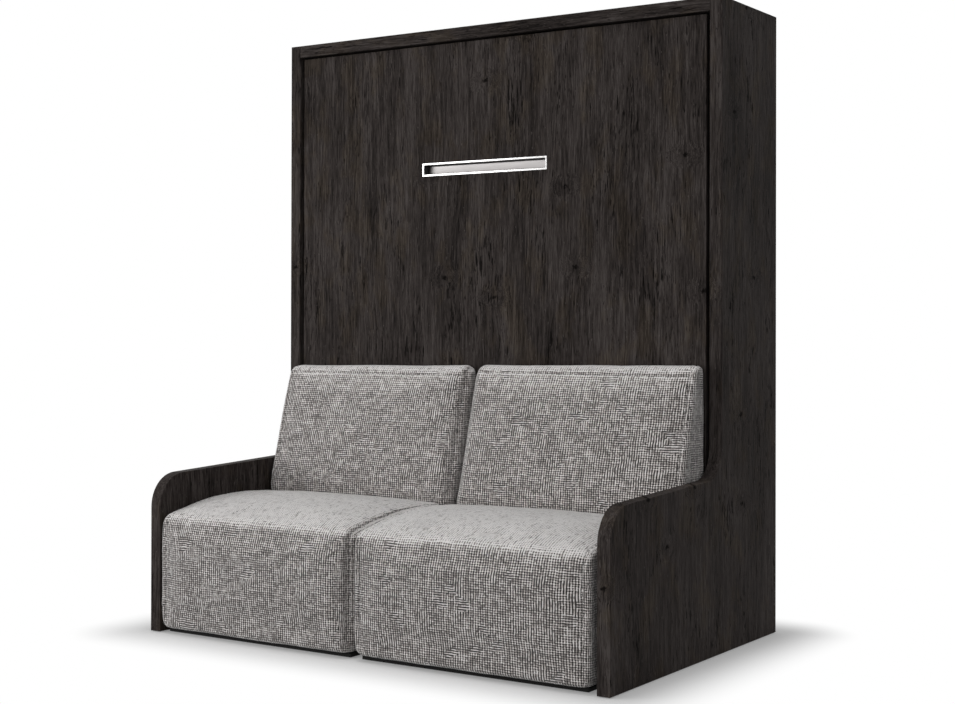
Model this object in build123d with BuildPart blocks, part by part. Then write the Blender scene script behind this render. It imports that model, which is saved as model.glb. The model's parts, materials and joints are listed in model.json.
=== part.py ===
from build123d import *
from math import asin, atan2, cos, degrees, hypot, pi, radians, sin, tan
import os

os.makedirs("parts", exist_ok=True)

# A wall bed that folds down over a sofa. Millimetres. X runs left to right as seen from the front,
# Y from the front to the wall, Z up. The origin is on the floor, in the middle of the footprint.

# Cabinet. Its width and height follow from the mattress.
cabinet_depth = 455.0
arm_reach = 765.0
board = 45.0
panel_glide_height = 3.0
edge_round = 1.5
overrun = 5.0

# Line on which the pull is centred and the sofa is divided, a little left of the middle
dividing_x = -24.0

# Arms
arm_height = 552.0
arm_slope = 2.3
arm_nose_radius = 115.0
arm_hollow_radius = 105.0

# Door
door_thickness = 22.0
door_recess = 7.0
door_side_gap = 15.0
door_top_gap = 9.0

# Mattress and the room round the bed frame
hinge_gap = 50.0
bed_floor_gap = 175.0
mattress_width = 1600.0
mattress_length = 1900.0
mattress_thickness = 160.0
mattress_corner = 60.0
mattress_edge = 24.0
mattress_clearance = 0.3

# Bed frame
rail_thickness = 25.0
rail_depth = 100.0
rail_clearance = 3.0
end_clearance = 0.5
beam_width = 30.0
beam_depth = 22.0
ledge_width = 20.0
ledge_depth = 12.0
slat_thickness = 10.0
slat_width = 62.0
slat_pitch = 108.0
slat_end_gap = 2.0
bracket_leg = 22.0
bracket_metal = 2.5
bracket_length = 60.0
bracket_rise_shares = (0.035, 0.3, 0.565, 0.8)
strap_width = 50.0
strap_thickness = 2.0
strap_gap = 0.4
strap_grip = 60.0
strap_length_shares = (0.205, 0.778)

# Bed hinge
seat_door_clearance = 5.0
bed_swing = 90.0
pin_radius = 12.0
pin_clearance = 0.05
bush_wall = 4.0
hinge_metal = 8.0
boss_wall = 8.0
boss_length = 20.0
bed_plate_height = 250.0
bed_plate_width = 60.0
bed_plate_clearance = 1.0
bed_plate_rise_share = 0.4
plate_corner = 12.0
hinge_plate_margin = 38.0
hinge_screw_radius = 4.0
hinge_screw_length = 34.0
hinge_screw_head_radius = 7.5
hinge_screw_head = 1.5
hinge_screw_clearance = 0.1

# Gas springs
spring_crank = 100.0
spring_stud_rear_margin = 65.0
spring_stud_rise = 155.0
spring_radius = 13.0
spring_wall = 1.5
spring_reserve = 45.0
spring_rod_radius = 5.0
spring_rod_inside = 28.0
spring_eye_radius = 11.0
spring_eye_width = 10.0
spring_neck_radius = 6.0
spring_piston = 10.0
spring_clearance = 0.1
stud_radius = 5.0
stud_gap = 1.0

# Folding legs
leg_side_clearance = 2.5
leg_width = 34.0
leg_end_setback = 66.0
leg_pivot_behind_door = 17.0
leg_pin_radius = 6.0
leg_bush_wall = 2.0
leg_pin_head = 1.5
leg_pin_head_radius = 10.0
leg_foot_height = 12.0
leg_foot_wall = 1.0
leg_floor_clearance = 0.5

# Recessed pull in the door
pull_length = 539.0
pull_height = 49.0
pull_below_top = 462.5
pull_rim = 7.0
pull_proud = 2.0
pull_depth = 30.0
pull_wall = 1.5
pull_slot_clearance = 0.5
pull_corner = 1.0

# Stops
stop_length = 50.0
stop_drop = 40.0
stop_depth = 40.0
buffer_radius = 10.0
buffer_height = 8.0
buffer_squeeze = 0.3

# Back of the cabinet
back_panel_thickness = 8.0
wall_rail_height = 120.0
wall_rail_thickness = 22.0
wall_hole_radius = 4.5
wall_hole_inset = 178.0
wall_hole_margin = 28.0
inner_rail_thickness = 18.0
middle_rail_height = 70.0
middle_rail_share = 0.48
plinth_height = 80.0
plinth_setback = 22.0
plinth_thickness = 18.0
bottom_board_thickness = 18.0

# Floor glides under the side boards
panel_glide_radius = 16.0
panel_glide_margin = 60.0

# Seat blocks
seat_gap = 8.0
seat_left_gap = 5.0
seat_right_gap = 20.0
seat_front_setback = 4.0
seat_rear_setback = 182.0
seat_bottom = 16.0
seat_front_height = 414.0
seat_crest_rise = 63.0
seat_rear_fall = 22.0
seat_crest_share = 0.47
seat_top_crown = 10.0
seat_front_swell = 3.0
seat_front_radius = 42.0
seat_crest_arc_share = 0.62
seat_rear_radius = 60.0
seat_foot_radius = 14.0
seat_edge_radius = 30.0

# Seat unit
seat_base_inset = 20.0
seat_base_thickness = 12.0
seat_glide_radius = 15.0
seat_glide_margin = 50.0
seat_travel = 180.0
tie_thickness = 16.0
tie_height = 280.0
tie_floor_gap = 60.0
tie_margin = 30.0
track_width = 36.0
track_height = 8.0
track_floor_gap = 0.3
track_reach = 620.0
shoe_wall = 8.0
shoe_length = 60.0
shoe_clearance = 0.4

# Back cushions
cushion_gap = 8.0
cushion_side_gap = 10.0
cushion_nest_angle = 35.0
cushion_nest_gap = 2.5
cushion_rise = 483.0
cushion_right_lift = 14.0
cushion_top_depth = 68.7
cushion_top_fall = 12.0
cushion_bottom_radius = 30.0
cushion_top_radius = 40.0
cushion_back_radius = 22.0
cushion_face_arc_share = 0.75
cushion_swell = 12.0
cushion_top_swell = 4.0
cushion_edge_radius = 32.0
strip_thickness = 2.5
strip_width = 25.0
strip_margin = 80.0
strip_height_shares = (0.35, 0.78)
strip_clearance = 0.3

# Planes and edges that several pieces share
rail_inner = mattress_width / 2 + rail_clearance
rail_outer = rail_inner + rail_thickness
inner_half = rail_outer + hinge_gap
half_width = inner_half + board
door_half = inner_half - door_side_gap
bed_bottom = bed_floor_gap
head_rail_top = bed_bottom + rail_thickness
foot_rail_bottom = head_rail_top + mattress_length + 2 * end_clearance
door_top = foot_rail_bottom + rail_thickness
top_underside = door_top + door_top_gap
overall_height = top_underside + board
rear_y = (cabinet_depth + arm_reach) / 2
front_y = rear_y - cabinet_depth
arm_front_y = -rear_y
door_face = front_y + door_recess
door_rear = door_face + door_thickness
rail_rear = door_rear + rail_depth
beam_front = front_y + door_recess + pull_depth + pull_wall
ledge_front = beam_front
slat_front = ledge_front + ledge_depth
slat_rear = slat_front + slat_thickness
mattress_front = slat_rear + mattress_clearance
mattress_rear = mattress_front + mattress_thickness
pivot_y = door_rear + bed_plate_clearance + bed_plate_width / 2
seat_crest_height = seat_front_height + seat_crest_rise
seat_rear_height = seat_crest_height - seat_rear_fall
pivot_height = seat_crest_height + seat_top_crown + seat_door_clearance + pivot_y - door_face
sides = {"left": -1, "right": 1}


def save(builder, label):
    builder.part.label = label
    export_step(builder.part, f"parts/{label}.step")


def centre(pair):
    return (pair[0] + pair[1]) / 2


def span(pair):
    return abs(pair[1] - pair[0])


def block(x, y, z, mode=Mode.ADD):
    """Adds a square-edged block between the given limits to the piece being built."""
    with BuildSketch(Plane.XY.offset(min(z))) as outline:
        with Locations((centre(x), centre(y))):
            Rectangle(span(x), span(y))
    extrude(outline.sketch, amount=span(z), mode=mode)


def cross_disc(y, z, radius, x_start, x_end, mode=Mode.ADD):
    """Adds a round bar or hole along X to the piece being built."""
    with BuildSketch(Plane.YZ.offset(min(x_start, x_end))) as outline:
        with Locations((y, z)):
            Circle(radius)
    extrude(outline.sketch, amount=abs(x_end - x_start), mode=mode)


def board_piece(label, x, y, z, rounding=0.0):
    """One flat board with all its edges eased alike."""
    with BuildPart() as piece:
        block(x, y, z)
        if rounding:
            fillet(piece.edges(), rounding)
    save(piece, label)


# Gas spring ends, on the cabinet plate and on the bed, with the bed up and with it down
stud_y = rear_y - spring_stud_rear_margin
spring_stud_height = pivot_height + spring_stud_rise
crank_up = (pivot_y, pivot_height - spring_crank)
crank_down = (pivot_y + spring_crank * sin(radians(bed_swing)),
              pivot_height - spring_crank * cos(radians(bed_swing)))
spring_long = hypot(crank_up[0] - stud_y, crank_up[1] - spring_stud_height)
spring_short = hypot(crank_down[0] - stud_y, crank_down[1] - spring_stud_height)
spring_angle_up = degrees(atan2(crank_up[1] - spring_stud_height, crank_up[0] - stud_y))
spring_angle_down = degrees(atan2(crank_down[1] - spring_stud_height, crank_down[0] - stud_y))
hinge_plate_inner = inner_half - hinge_metal
bed_plate_outer = rail_outer + hinge_metal
spring_centre = hinge_plate_inner - spring_radius - stud_gap

# Side boards, each cut in one piece with its arm, and the places of their hinge screws
arm_rear_height = arm_height + arm_reach * tan(radians(arm_slope))
hinge_screws = [
    (pivot_y - hinge_plate_margin / 2, pivot_height + 2 * hinge_plate_margin),
    (pivot_y + hinge_plate_margin / 2, pivot_height - hinge_plate_margin),
    (stud_y, spring_stud_height - hinge_plate_margin),
    (stud_y - 3 * hinge_plate_margin, spring_stud_height),
]
for side, sign in sides.items():
    with BuildPart() as side_panel:
        with BuildSketch(Plane.YZ.offset(min(sign * half_width, sign * inner_half))):
            with BuildLine():
                FilletPolyline(
                    (arm_front_y, panel_glide_height),
                    (arm_front_y, arm_height),
                    (front_y, arm_rear_height),
                    (front_y, overall_height),
                    (rear_y, overall_height),
                    (rear_y, panel_glide_height),
                    radius=(0, arm_nose_radius, arm_hollow_radius, 0, 0, 0),
                    close=True,
                )
            make_face()
        extrude(amount=board)
        fillet(side_panel.faces().filter_by(Axis.X).edges(), edge_round)
        for screw_y, screw_z in hinge_screws:
            cross_disc(screw_y, screw_z, hinge_screw_radius + hinge_screw_clearance,
                       sign * (inner_half - overrun), sign * (inner_half + hinge_screw_length),
                       Mode.SUBTRACT)
    save(side_panel, f"side_panel_{side}")

board_piece("top_panel", (-inner_half, inner_half), (front_y, rear_y),
            (top_underside, overall_height))

with BuildPart() as panel_glides:
    for sign in sides.values():
        for glide_y in (arm_front_y + panel_glide_margin, 0, rear_y - panel_glide_margin):
            with BuildSketch(Plane.XY):
                with Locations((sign * (half_width - board / 2), glide_y)):
                    Circle(panel_glide_radius)
            extrude(amount=panel_glide_height)
save(panel_glides, "panel_glides")

# Back of the cabinet: two thin panels on three cross rails
back_front = rear_y - back_panel_thickness
wall_rail_bottom = top_underside - wall_rail_height
middle_rail_bottom = middle_rail_share * overall_height
middle_rail_top = middle_rail_bottom + middle_rail_height
back_joint = centre((middle_rail_bottom, middle_rail_top))
with BuildPart() as wall_rail:
    block((-inner_half, inner_half), (rear_y - wall_rail_thickness, rear_y),
          (wall_rail_bottom, top_underside))
    with BuildSketch(Plane.XZ.offset(-rear_y - overrun)):
        with Locations((0, centre((wall_rail_bottom, top_underside)))):
            with GridLocations(2 * (inner_half - wall_hole_inset),
                               wall_rail_height - 2 * wall_hole_margin, 2, 2):
                Circle(wall_hole_radius)
    extrude(amount=wall_rail_thickness + 2 * overrun, mode=Mode.SUBTRACT)
save(wall_rail, "wall_rail")

inner_rail_y = (back_front - inner_rail_thickness, back_front)
board_piece("middle_rail", (-inner_half, inner_half), inner_rail_y, (middle_rail_bottom, middle_rail_top))
board_piece("lower_rail", (-inner_half, inner_half), inner_rail_y, (panel_glide_height, plinth_height))
board_piece("back_panel_lower", (-inner_half, inner_half), (back_front, rear_y),
            (panel_glide_height, back_joint))
board_piece("back_panel_upper", (-inner_half, inner_half), (back_front, rear_y),
            (back_joint, wall_rail_bottom))

# Foot of the cabinet
plinth_front = front_y + plinth_setback
board_piece("plinth_rail", (-inner_half, inner_half), (plinth_front, plinth_front + plinth_thickness),
            (panel_glide_height, plinth_height))
board_piece("bottom_board", (-inner_half, inner_half), (plinth_front, back_front),
            (plinth_height, plinth_height + bottom_board_thickness))

# Cabinet side of the hinge: plate, welded pivot pin, and the stud that carries the gas spring
for side, sign in sides.items():
    with BuildPart() as hinge_plate:
        with BuildSketch(Plane.YZ.offset(min(sign * inner_half, sign * hinge_plate_inner))):
            with BuildLine():
                FilletPolyline(
                    (pivot_y - hinge_plate_margin, pivot_height - 2 * hinge_plate_margin),
                    (pivot_y + 2 * hinge_plate_margin, pivot_height - 2 * hinge_plate_margin),
                    (stud_y + hinge_plate_margin, spring_stud_height - 2 * hinge_plate_margin),
                    (stud_y + hinge_plate_margin, spring_stud_height + hinge_plate_margin),
                    (pivot_y - hinge_plate_margin, spring_stud_height + hinge_plate_margin),
                    radius=plate_corner,
                    close=True,
                )
            make_face()
        extrude(amount=hinge_metal)
        for screw_y, screw_z in hinge_screws:
            cross_disc(screw_y, screw_z, hinge_screw_radius + hinge_screw_clearance,
                       sign * (hinge_plate_inner - overrun), sign * (inner_half + overrun),
                       Mode.SUBTRACT)
    save(hinge_plate, f"hinge_plate_{side}")

    with BuildPart() as pivot_pin:
        cross_disc(pivot_y, pivot_height, pin_radius, sign * (rail_outer + stud_gap),
                   sign * hinge_plate_inner)
    save(pivot_pin, f"pivot_pin_{side}")

    with BuildPart() as spring_stud:
        cross_disc(stud_y, spring_stud_height, stud_radius,
                   sign * (spring_centre - spring_eye_width / 2), sign * hinge_plate_inner)
    save(spring_stud, f"cabinet_spring_stud_{side}")

with BuildPart() as hinge_plate_screws:
    for sign in sides.values():
        for screw_y, screw_z in hinge_screws:
            cross_disc(screw_y, screw_z, hinge_screw_radius, sign * hinge_plate_inner,
                       sign * (inner_half + hinge_screw_length - overrun))
            cross_disc(screw_y, screw_z, hinge_screw_head_radius,
                       sign * (hinge_plate_inner - hinge_screw_head), sign * hinge_plate_inner)
save(hinge_plate_screws, "hinge_plate_screws")

# Stops behind the top corners of the bed frame
stop_front = rail_rear + buffer_height
stop_x = (rail_inner, rail_inner + stop_length)
with BuildPart() as stop_blocks:
    for sign in sides.values():
        block((sign * stop_x[0], sign * stop_x[1]), (stop_front, stop_front + stop_depth),
              (top_underside - stop_drop, top_underside))
save(stop_blocks, "stop_blocks")

buffer_z = door_top - buffer_radius - overrun
with BuildPart() as stop_buffers:
    for sign in sides.values():
        with BuildSketch(Plane.XZ.offset(-stop_front)):
            with Locations((sign * (rail_outer - rail_thickness / 2), buffer_z)):
                Circle(buffer_radius)
        extrude(amount=buffer_height - buffer_squeeze)
save(stop_buffers, "stop_buffers")

# Door, with the slot for the pull
pull_centre_height = door_top - pull_below_top
pull_inner_length = pull_length - 2 * pull_rim
pull_inner_height = pull_height - 2 * pull_rim
tray_length = pull_inner_length + 2 * pull_wall
tray_height = pull_inner_height + 2 * pull_wall


def pull_prism(length, height, y_start, y_end, mode=Mode.ADD):
    """Adds or cuts a prism centred on the pull, from y_start back to y_end."""
    with BuildSketch(Plane.XZ.offset(-y_end)) as outline:
        with Locations((dividing_x, pull_centre_height)):
            RectangleRounded(length, height, pull_corner)
    extrude(outline.sketch, amount=y_end - y_start, mode=mode)


with BuildPart() as door_panel:
    block((-door_half, door_half), (door_face, door_rear), (bed_bottom, door_top))
    fillet(door_panel.faces().sort_by(Axis.Y)[0].edges(), edge_round)
    pull_prism(tray_length + 2 * pull_slot_clearance, tray_height + 2 * pull_slot_clearance,
               door_face - overrun, door_rear + overrun, Mode.SUBTRACT)
save(door_panel, "door_panel")

with BuildPart() as pull_frame:
    pull_prism(pull_length, pull_height, door_face - pull_proud, door_face)
    pull_prism(pull_inner_length, pull_inner_height, door_face - pull_proud - overrun,
               door_face + overrun, Mode.SUBTRACT)
save(pull_frame, "pull_frame")

with BuildPart() as pull_tray:
    pull_prism(tray_length, tray_height, door_face, door_face + pull_depth)
    pull_prism(pull_inner_length, pull_inner_height, door_face - overrun,
               door_face + pull_depth - pull_wall, Mode.SUBTRACT)
save(pull_tray, "pull_tray")

# Bed frame
frame_y = (door_rear, rail_rear)
for side, sign in sides.items():
    board_piece(f"side_rail_{side}", (sign * rail_inner, sign * rail_outer), frame_y,
                (bed_bottom, door_top))
board_piece("head_rail", (-rail_inner, rail_inner), frame_y, (bed_bottom, head_rail_top))
board_piece("foot_rail", (-rail_inner, rail_inner), frame_y, (foot_rail_bottom, door_top))
board_piece("centre_beam", (-beam_width / 2, beam_width / 2), (beam_front, beam_front + beam_depth),
            (head_rail_top, foot_rail_bottom))

with BuildPart() as slat_ledges:
    for sign in sides.values():
        for ledge_x in (beam_width / 2, rail_inner - ledge_width):
            block((sign * ledge_x, sign * (ledge_x + ledge_width)), (ledge_front, slat_front),
                  (head_rail_top, foot_rail_bottom))
save(slat_ledges, "slat_ledges")

slat_x = (beam_width / 2 + slat_end_gap, rail_inner - slat_end_gap)
slat_room = foot_rail_bottom - head_rail_top - slat_width
slat_count = int(slat_room // slat_pitch) + 1
first_slat = head_rail_top + (slat_room - (slat_count - 1) * slat_pitch) / 2
with BuildPart() as slats:
    for sign in sides.values():
        for row in range(slat_count):
            slat_z = first_slat + row * slat_pitch
            block((sign * slat_x[0], sign * slat_x[1]), (slat_front, slat_rear),
                  (slat_z, slat_z + slat_width))
save(slats, "slats")

plate_bottom = pivot_height - bed_plate_height * (1 - bed_plate_rise_share)
plate_top = plate_bottom + bed_plate_height
with BuildPart() as door_brackets:
    for sign in sides.values():
        for share in bracket_rise_shares:
            bracket_z = plate_top + share * (door_top - plate_top)
            bracket_span = (bracket_z, bracket_z + bracket_length)
            block((sign * rail_outer, sign * (rail_outer + bracket_metal)),
                  (door_rear, door_rear + bracket_leg), bracket_span)
            block((sign * rail_outer, sign * (rail_outer + bracket_leg)),
                  (door_rear, door_rear + bracket_metal), bracket_span)
save(door_brackets, "door_brackets")

with BuildPart() as mattress:
    with BuildSketch(Plane.XZ.offset(-mattress_rear)):
        with Locations((0, centre((head_rail_top, foot_rail_bottom)))):
            RectangleRounded(mattress_width, mattress_length, mattress_corner)
    extrude(amount=mattress_thickness)
    fillet(mattress.faces().filter_by(Axis.Y).edges(), mattress_edge)
save(mattress, "mattress")

strap_rear = mattress_rear + strap_gap + strap_thickness
strap_x = mattress_width / 2 + strap_gap
with BuildPart() as mattress_straps:
    for share in strap_length_shares:
        strap_z = head_rail_top + share * mattress_length
        strap_span = (strap_z, strap_z + strap_width)
        block((-strap_x - strap_thickness, strap_x + strap_thickness),
              (mattress_rear + strap_gap, strap_rear), strap_span)
        for sign in sides.values():
            block((sign * strap_x, sign * (strap_x + strap_thickness)),
                  (rail_rear - strap_grip, strap_rear), strap_span)
save(mattress_straps, "mattress_straps")

# Bed side of the hinge: plate with its boss and spring stud, and the bush in the boss
bush_outer = pin_radius + pin_clearance + bush_wall
boss_outer = bush_outer + boss_wall
for side, sign in sides.items():
    with BuildPart() as bed_plate:
        with BuildSketch(Plane.YZ.offset(min(sign * rail_outer, sign * bed_plate_outer))):
            with Locations((pivot_y, centre((plate_bottom, plate_top)))):
                RectangleRounded(bed_plate_width, bed_plate_height, plate_corner)
        extrude(amount=hinge_metal)
        cross_disc(pivot_y, pivot_height, boss_outer, sign * rail_outer,
                   sign * (rail_outer + boss_length))
        cross_disc(pivot_y, pivot_height, bush_outer, sign * (rail_outer - overrun),
                   sign * (rail_outer + boss_length + overrun), Mode.SUBTRACT)
        cross_disc(crank_up[0], crank_up[1], stud_radius, sign * rail_outer,
                   sign * (spring_centre - spring_eye_width / 2 - stud_gap))
    save(bed_plate, f"bed_plate_{side}")

    with BuildPart() as pivot_bush:
        cross_disc(pivot_y, pivot_height, bush_outer, sign * rail_outer,
                   sign * (rail_outer + boss_length))
        cross_disc(pivot_y, pivot_height, pin_radius + pin_clearance,
                   sign * (rail_outer - overrun), sign * (rail_outer + boss_length + overrun),
                   Mode.SUBTRACT)
    save(pivot_bush, f"pivot_bush_{side}")

# Gas springs. Both pieces are drawn along the line from the cabinet stud to the bed stud.
spring_line_y = cos(radians(spring_angle_up))
spring_line_z = sin(radians(spring_angle_up))
tube_start = spring_eye_radius + spring_clearance
tube_end = spring_short - spring_reserve
rod_end = spring_long - spring_eye_radius
rod_start = tube_end - spring_rod_inside
for side, sign in sides.items():

    def spring_plane(distance):
        """A plane square to the spring's line, at a distance from the cabinet stud."""
        return Plane(
            origin=(sign * spring_centre, stud_y + distance * spring_line_y,
                    spring_stud_height + distance * spring_line_z),
            x_dir=(1, 0, 0),
            z_dir=(0, spring_line_y, spring_line_z),
        )

    def spring_bar(start, end, radius, mode=Mode.ADD):
        """A round length of the spring between two distances from the cabinet stud."""
        with BuildSketch(spring_plane(start)) as outline:
            Circle(radius)
        extrude(outline.sketch, amount=end - start, mode=mode)

    eye_x = (sign * (spring_centre - spring_eye_width / 2),
             sign * (spring_centre + spring_eye_width / 2))
    with BuildPart() as gas_cylinder:
        cross_disc(stud_y, spring_stud_height, spring_eye_radius, eye_x[0], eye_x[1])
        spring_bar(spring_eye_radius / 2, tube_start + spring_neck_radius, spring_neck_radius - spring_wall)
        spring_bar(tube_start, tube_end, spring_radius)
        spring_bar(tube_start + spring_wall, tube_end - spring_neck_radius,
                   spring_radius - spring_wall, Mode.SUBTRACT)
        spring_bar(tube_end - spring_neck_radius - overrun, tube_end + overrun,
                   spring_rod_radius + spring_clearance, Mode.SUBTRACT)
        cross_disc(stud_y, spring_stud_height, stud_radius + pin_clearance,
                   sign * (spring_centre - spring_radius), sign * (spring_centre + spring_radius),
                   Mode.SUBTRACT)
    save(gas_cylinder, f"gas_cylinder_{side}")

    with BuildPart() as gas_rod:
        spring_bar(rod_start, rod_end + spring_neck_radius / 2, spring_rod_radius)
        spring_bar(rod_start - spring_piston, rod_start,
                   spring_radius - spring_wall - spring_clearance)
        spring_bar(rod_end - 2 * spring_neck_radius, rod_end + spring_neck_radius / 2,
                   spring_neck_radius)
        cross_disc(crank_up[0], crank_up[1], spring_eye_radius, eye_x[0], eye_x[1])
        cross_disc(crank_up[0], crank_up[1], stud_radius + pin_clearance,
                   sign * (spring_centre - spring_radius), sign * (spring_centre + spring_radius),
                   Mode.SUBTRACT)
    save(gas_rod, f"gas_rod_{side}")

# Folding legs, hung in the gap beside the door
leg_pivot_y = door_rear + leg_pivot_behind_door
leg_pivot_height = door_top - leg_end_setback
leg_thickness = door_side_gap - 2 * leg_side_clearance
leg_length = pivot_height + leg_pivot_y - pivot_y - leg_floor_clearance
leg_centre = inner_half - door_side_gap / 2
leg_x = (leg_centre - leg_thickness / 2, leg_centre + leg_thickness / 2)
leg_bush_outer = leg_pin_radius + pin_clearance + leg_bush_wall
leg_foot_z = leg_pivot_height - leg_length
for side, sign in sides.items():
    with BuildPart() as leg:
        with BuildSketch(Plane.YZ.offset(min(sign * leg_x[0], sign * leg_x[1]))):
            with BuildLine():
                top_left = (leg_pivot_y - leg_width / 2, leg_pivot_height)
                top_right = (leg_pivot_y + leg_width / 2, leg_pivot_height)
                low_right = (leg_pivot_y + leg_width / 2, leg_foot_z + leg_foot_wall)
                low_left = (leg_pivot_y - leg_width / 2, leg_foot_z + leg_foot_wall)
                ThreePointArc(top_left, (leg_pivot_y, leg_pivot_height + leg_width / 2), top_right)
                Polyline(top_right, low_right, low_left, top_left)
            make_face()
        extrude(amount=leg_thickness)
        cross_disc(leg_pivot_y, leg_pivot_height, leg_bush_outer, sign * (leg_x[0] - overrun),
                   sign * (leg_x[1] + overrun), Mode.SUBTRACT)
    save(leg, f"leg_{side}")

    with BuildPart() as leg_bush:
        cross_disc(leg_pivot_y, leg_pivot_height, leg_bush_outer, sign * leg_x[0], sign * leg_x[1])
        cross_disc(leg_pivot_y, leg_pivot_height, leg_pin_radius + pin_clearance,
                   sign * (leg_x[0] - overrun), sign * (leg_x[1] + overrun), Mode.SUBTRACT)
    save(leg_bush, f"leg_bush_{side}")

    with BuildPart() as leg_foot:
        block((sign * (leg_x[0] - leg_foot_wall), sign * (leg_x[1] + leg_foot_wall)),
              (leg_pivot_y - leg_width / 2 - leg_foot_wall, leg_pivot_y + leg_width / 2 + leg_foot_wall),
              (leg_foot_z, leg_foot_z + leg_foot_height))
        block((sign * leg_x[0], sign * leg_x[1]),
              (leg_pivot_y - leg_width / 2, leg_pivot_y + leg_width / 2),
              (leg_foot_z + leg_foot_wall, leg_foot_z + leg_foot_height + overrun), Mode.SUBTRACT)
    save(leg_foot, f"leg_foot_{side}")

with BuildPart() as leg_pins:
    for sign in sides.values():
        cross_disc(leg_pivot_y, leg_pivot_height, leg_pin_radius, sign * rail_outer,
                   sign * (leg_x[1] + leg_pin_head))
        cross_disc(leg_pivot_y, leg_pivot_height, leg_pin_head_radius,
                   sign * (leg_x[1] + pin_clearance), sign * (leg_x[1] + leg_pin_head))
        cross_disc(leg_pivot_y, leg_pivot_height, leg_pin_head_radius, sign * rail_outer,
                   sign * (leg_x[0] - leg_foot_wall))
save(leg_pins, "leg_pins")

# Soft blocks: a side outline whose corners are rounded, drawn in towards both ends and fullest
# half way along
end_angle_steps = (0.0, 22.5, 45.0, 67.5, 90.0)
least_corner = 2.0
belly_shares = (0.12, 0.26, 0.42, 0.58, 0.74, 0.88)


def drawn_in(corners, amount):
    """Moves every side of a closed outline inwards by the same amount."""
    count = len(corners)
    lines = []
    for index, start in enumerate(corners):
        end = corners[(index + 1) % count]
        length = hypot(end[0] - start[0], end[1] - start[1])
        along = ((end[0] - start[0]) / length, (end[1] - start[1]) / length)
        lines.append((start[0] + along[1] * amount, start[1] - along[0] * amount, along))
    moved = []
    for index, (y_now, z_now, now) in enumerate(lines):
        y_last, z_last, last = lines[index - 1]
        cross = last[0] * now[1] - last[1] * now[0]
        reach = ((y_now - y_last) * now[1] - (z_now - z_last) * now[0]) / cross
        moved.append((y_last + reach * last[0], z_last + reach * last[1]))
    return moved


def easing_radius(corners, index, share):
    """The radius of the arc at a corner that takes up a share of the shorter side beside it."""
    (last_y, last_z), (here_y, here_z), (next_y, next_z) = corners[index - 1:index + 2]
    turn = abs(atan2(here_z - last_z, here_y - last_y) - atan2(next_z - here_z, next_y - here_y))
    side = min(hypot(here_y - last_y, here_z - last_z), hypot(next_y - here_y, next_z - here_z))
    return share * side / tan(turn / 2)


def round_outline(corners, radii):
    """Draws a closed outline of straight sides joined by tangent arcs, inside a line context."""
    ends = []
    for index, (corner_y, corner_z) in enumerate(corners):
        last_y, last_z = corners[index - 1]
        next_y, next_z = corners[(index + 1) % len(corners)]
        into = atan2(corner_z - last_z, corner_y - last_y)
        out = atan2(next_z - corner_z, next_y - corner_y)
        half_turn = (into - out) % (2 * pi) / 2
        cut = radii[index] * tan(half_turn)
        bow = radii[index] / cos(half_turn) - radii[index]
        inward = (into + out) / 2 - pi / 2
        if abs(into - out) > pi:
            inward += pi
        start = (corner_y - cut * cos(into), corner_z - cut * sin(into))
        middle = (corner_y + bow * cos(inward), corner_z + bow * sin(inward))
        end = (corner_y + cut * cos(out), corner_z + cut * sin(out))
        ends.append((start, middle, end))
    for index, (start, middle, end) in enumerate(ends):
        Line(ends[index - 1][2], start)
        ThreePointArc(start, middle, end)


def soft_block(label, x, outline_at, radii, edge_radius):
    """Lofts one soft block. outline_at(fullness) gives its corners, clockwise seen from +X."""
    low, high = sorted(x)
    stations = []
    for angle in end_angle_steps:
        depth = edge_radius * (1 - cos(radians(angle)))
        inset = edge_radius * (1 - sin(radians(angle)))
        stations.append((low + depth, inset))
        stations.append((high - depth, inset))
    for share in belly_shares:
        stations.append((low + edge_radius + share * (high - low - 2 * edge_radius), 0))
    with BuildPart() as soft:
        for station_x, inset in sorted(stations):
            along = (station_x - low) / (high - low)
            corners = drawn_in(outline_at(4 * along * (1 - along)), inset)
            with BuildSketch(Plane.YZ.offset(station_x)):
                with BuildLine():
                    round_outline(corners, [max(radius - inset, least_corner) for radius in radii])
                make_face()
        loft(ruled=True)
    save(soft, label)


# Seat blocks
seat_front_y = arm_front_y + seat_front_setback
seat_rear_y = front_y - seat_rear_setback
seat_crest_y = seat_front_y + seat_crest_share * (seat_rear_y - seat_front_y)
seat_x = {
    "left": (seat_left_gap - inner_half, dividing_x - seat_gap / 2),
    "right": (dividing_x + seat_gap / 2, inner_half - seat_right_gap),
}


def seat_outline(fullness):
    lift = seat_top_crown * fullness
    return [
        (seat_front_y - seat_front_swell * fullness, seat_bottom),
        (seat_front_y - seat_front_swell * fullness, seat_front_height + lift),
        (seat_crest_y, seat_crest_height + lift),
        (seat_rear_y, seat_rear_height + lift),
        (seat_rear_y, seat_bottom),
    ]


seat_crest_radius = easing_radius(seat_outline(0), 2, seat_crest_arc_share)
seat_radii = (seat_foot_radius, seat_front_radius, seat_crest_radius, seat_rear_radius, seat_foot_radius)
for side in sides:
    soft_block(f"seat_block_{side}", seat_x[side], seat_outline, seat_radii, seat_edge_radius)

# Back cushions, wedge shaped, nested behind the round rear edge of the seat
def cushion_lean(run, rise):
    """The angle of the face that touches the bottom round and meets the top at its depth."""
    return atan2(run, rise) + asin(cushion_bottom_radius / hypot(run, rise))


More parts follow.
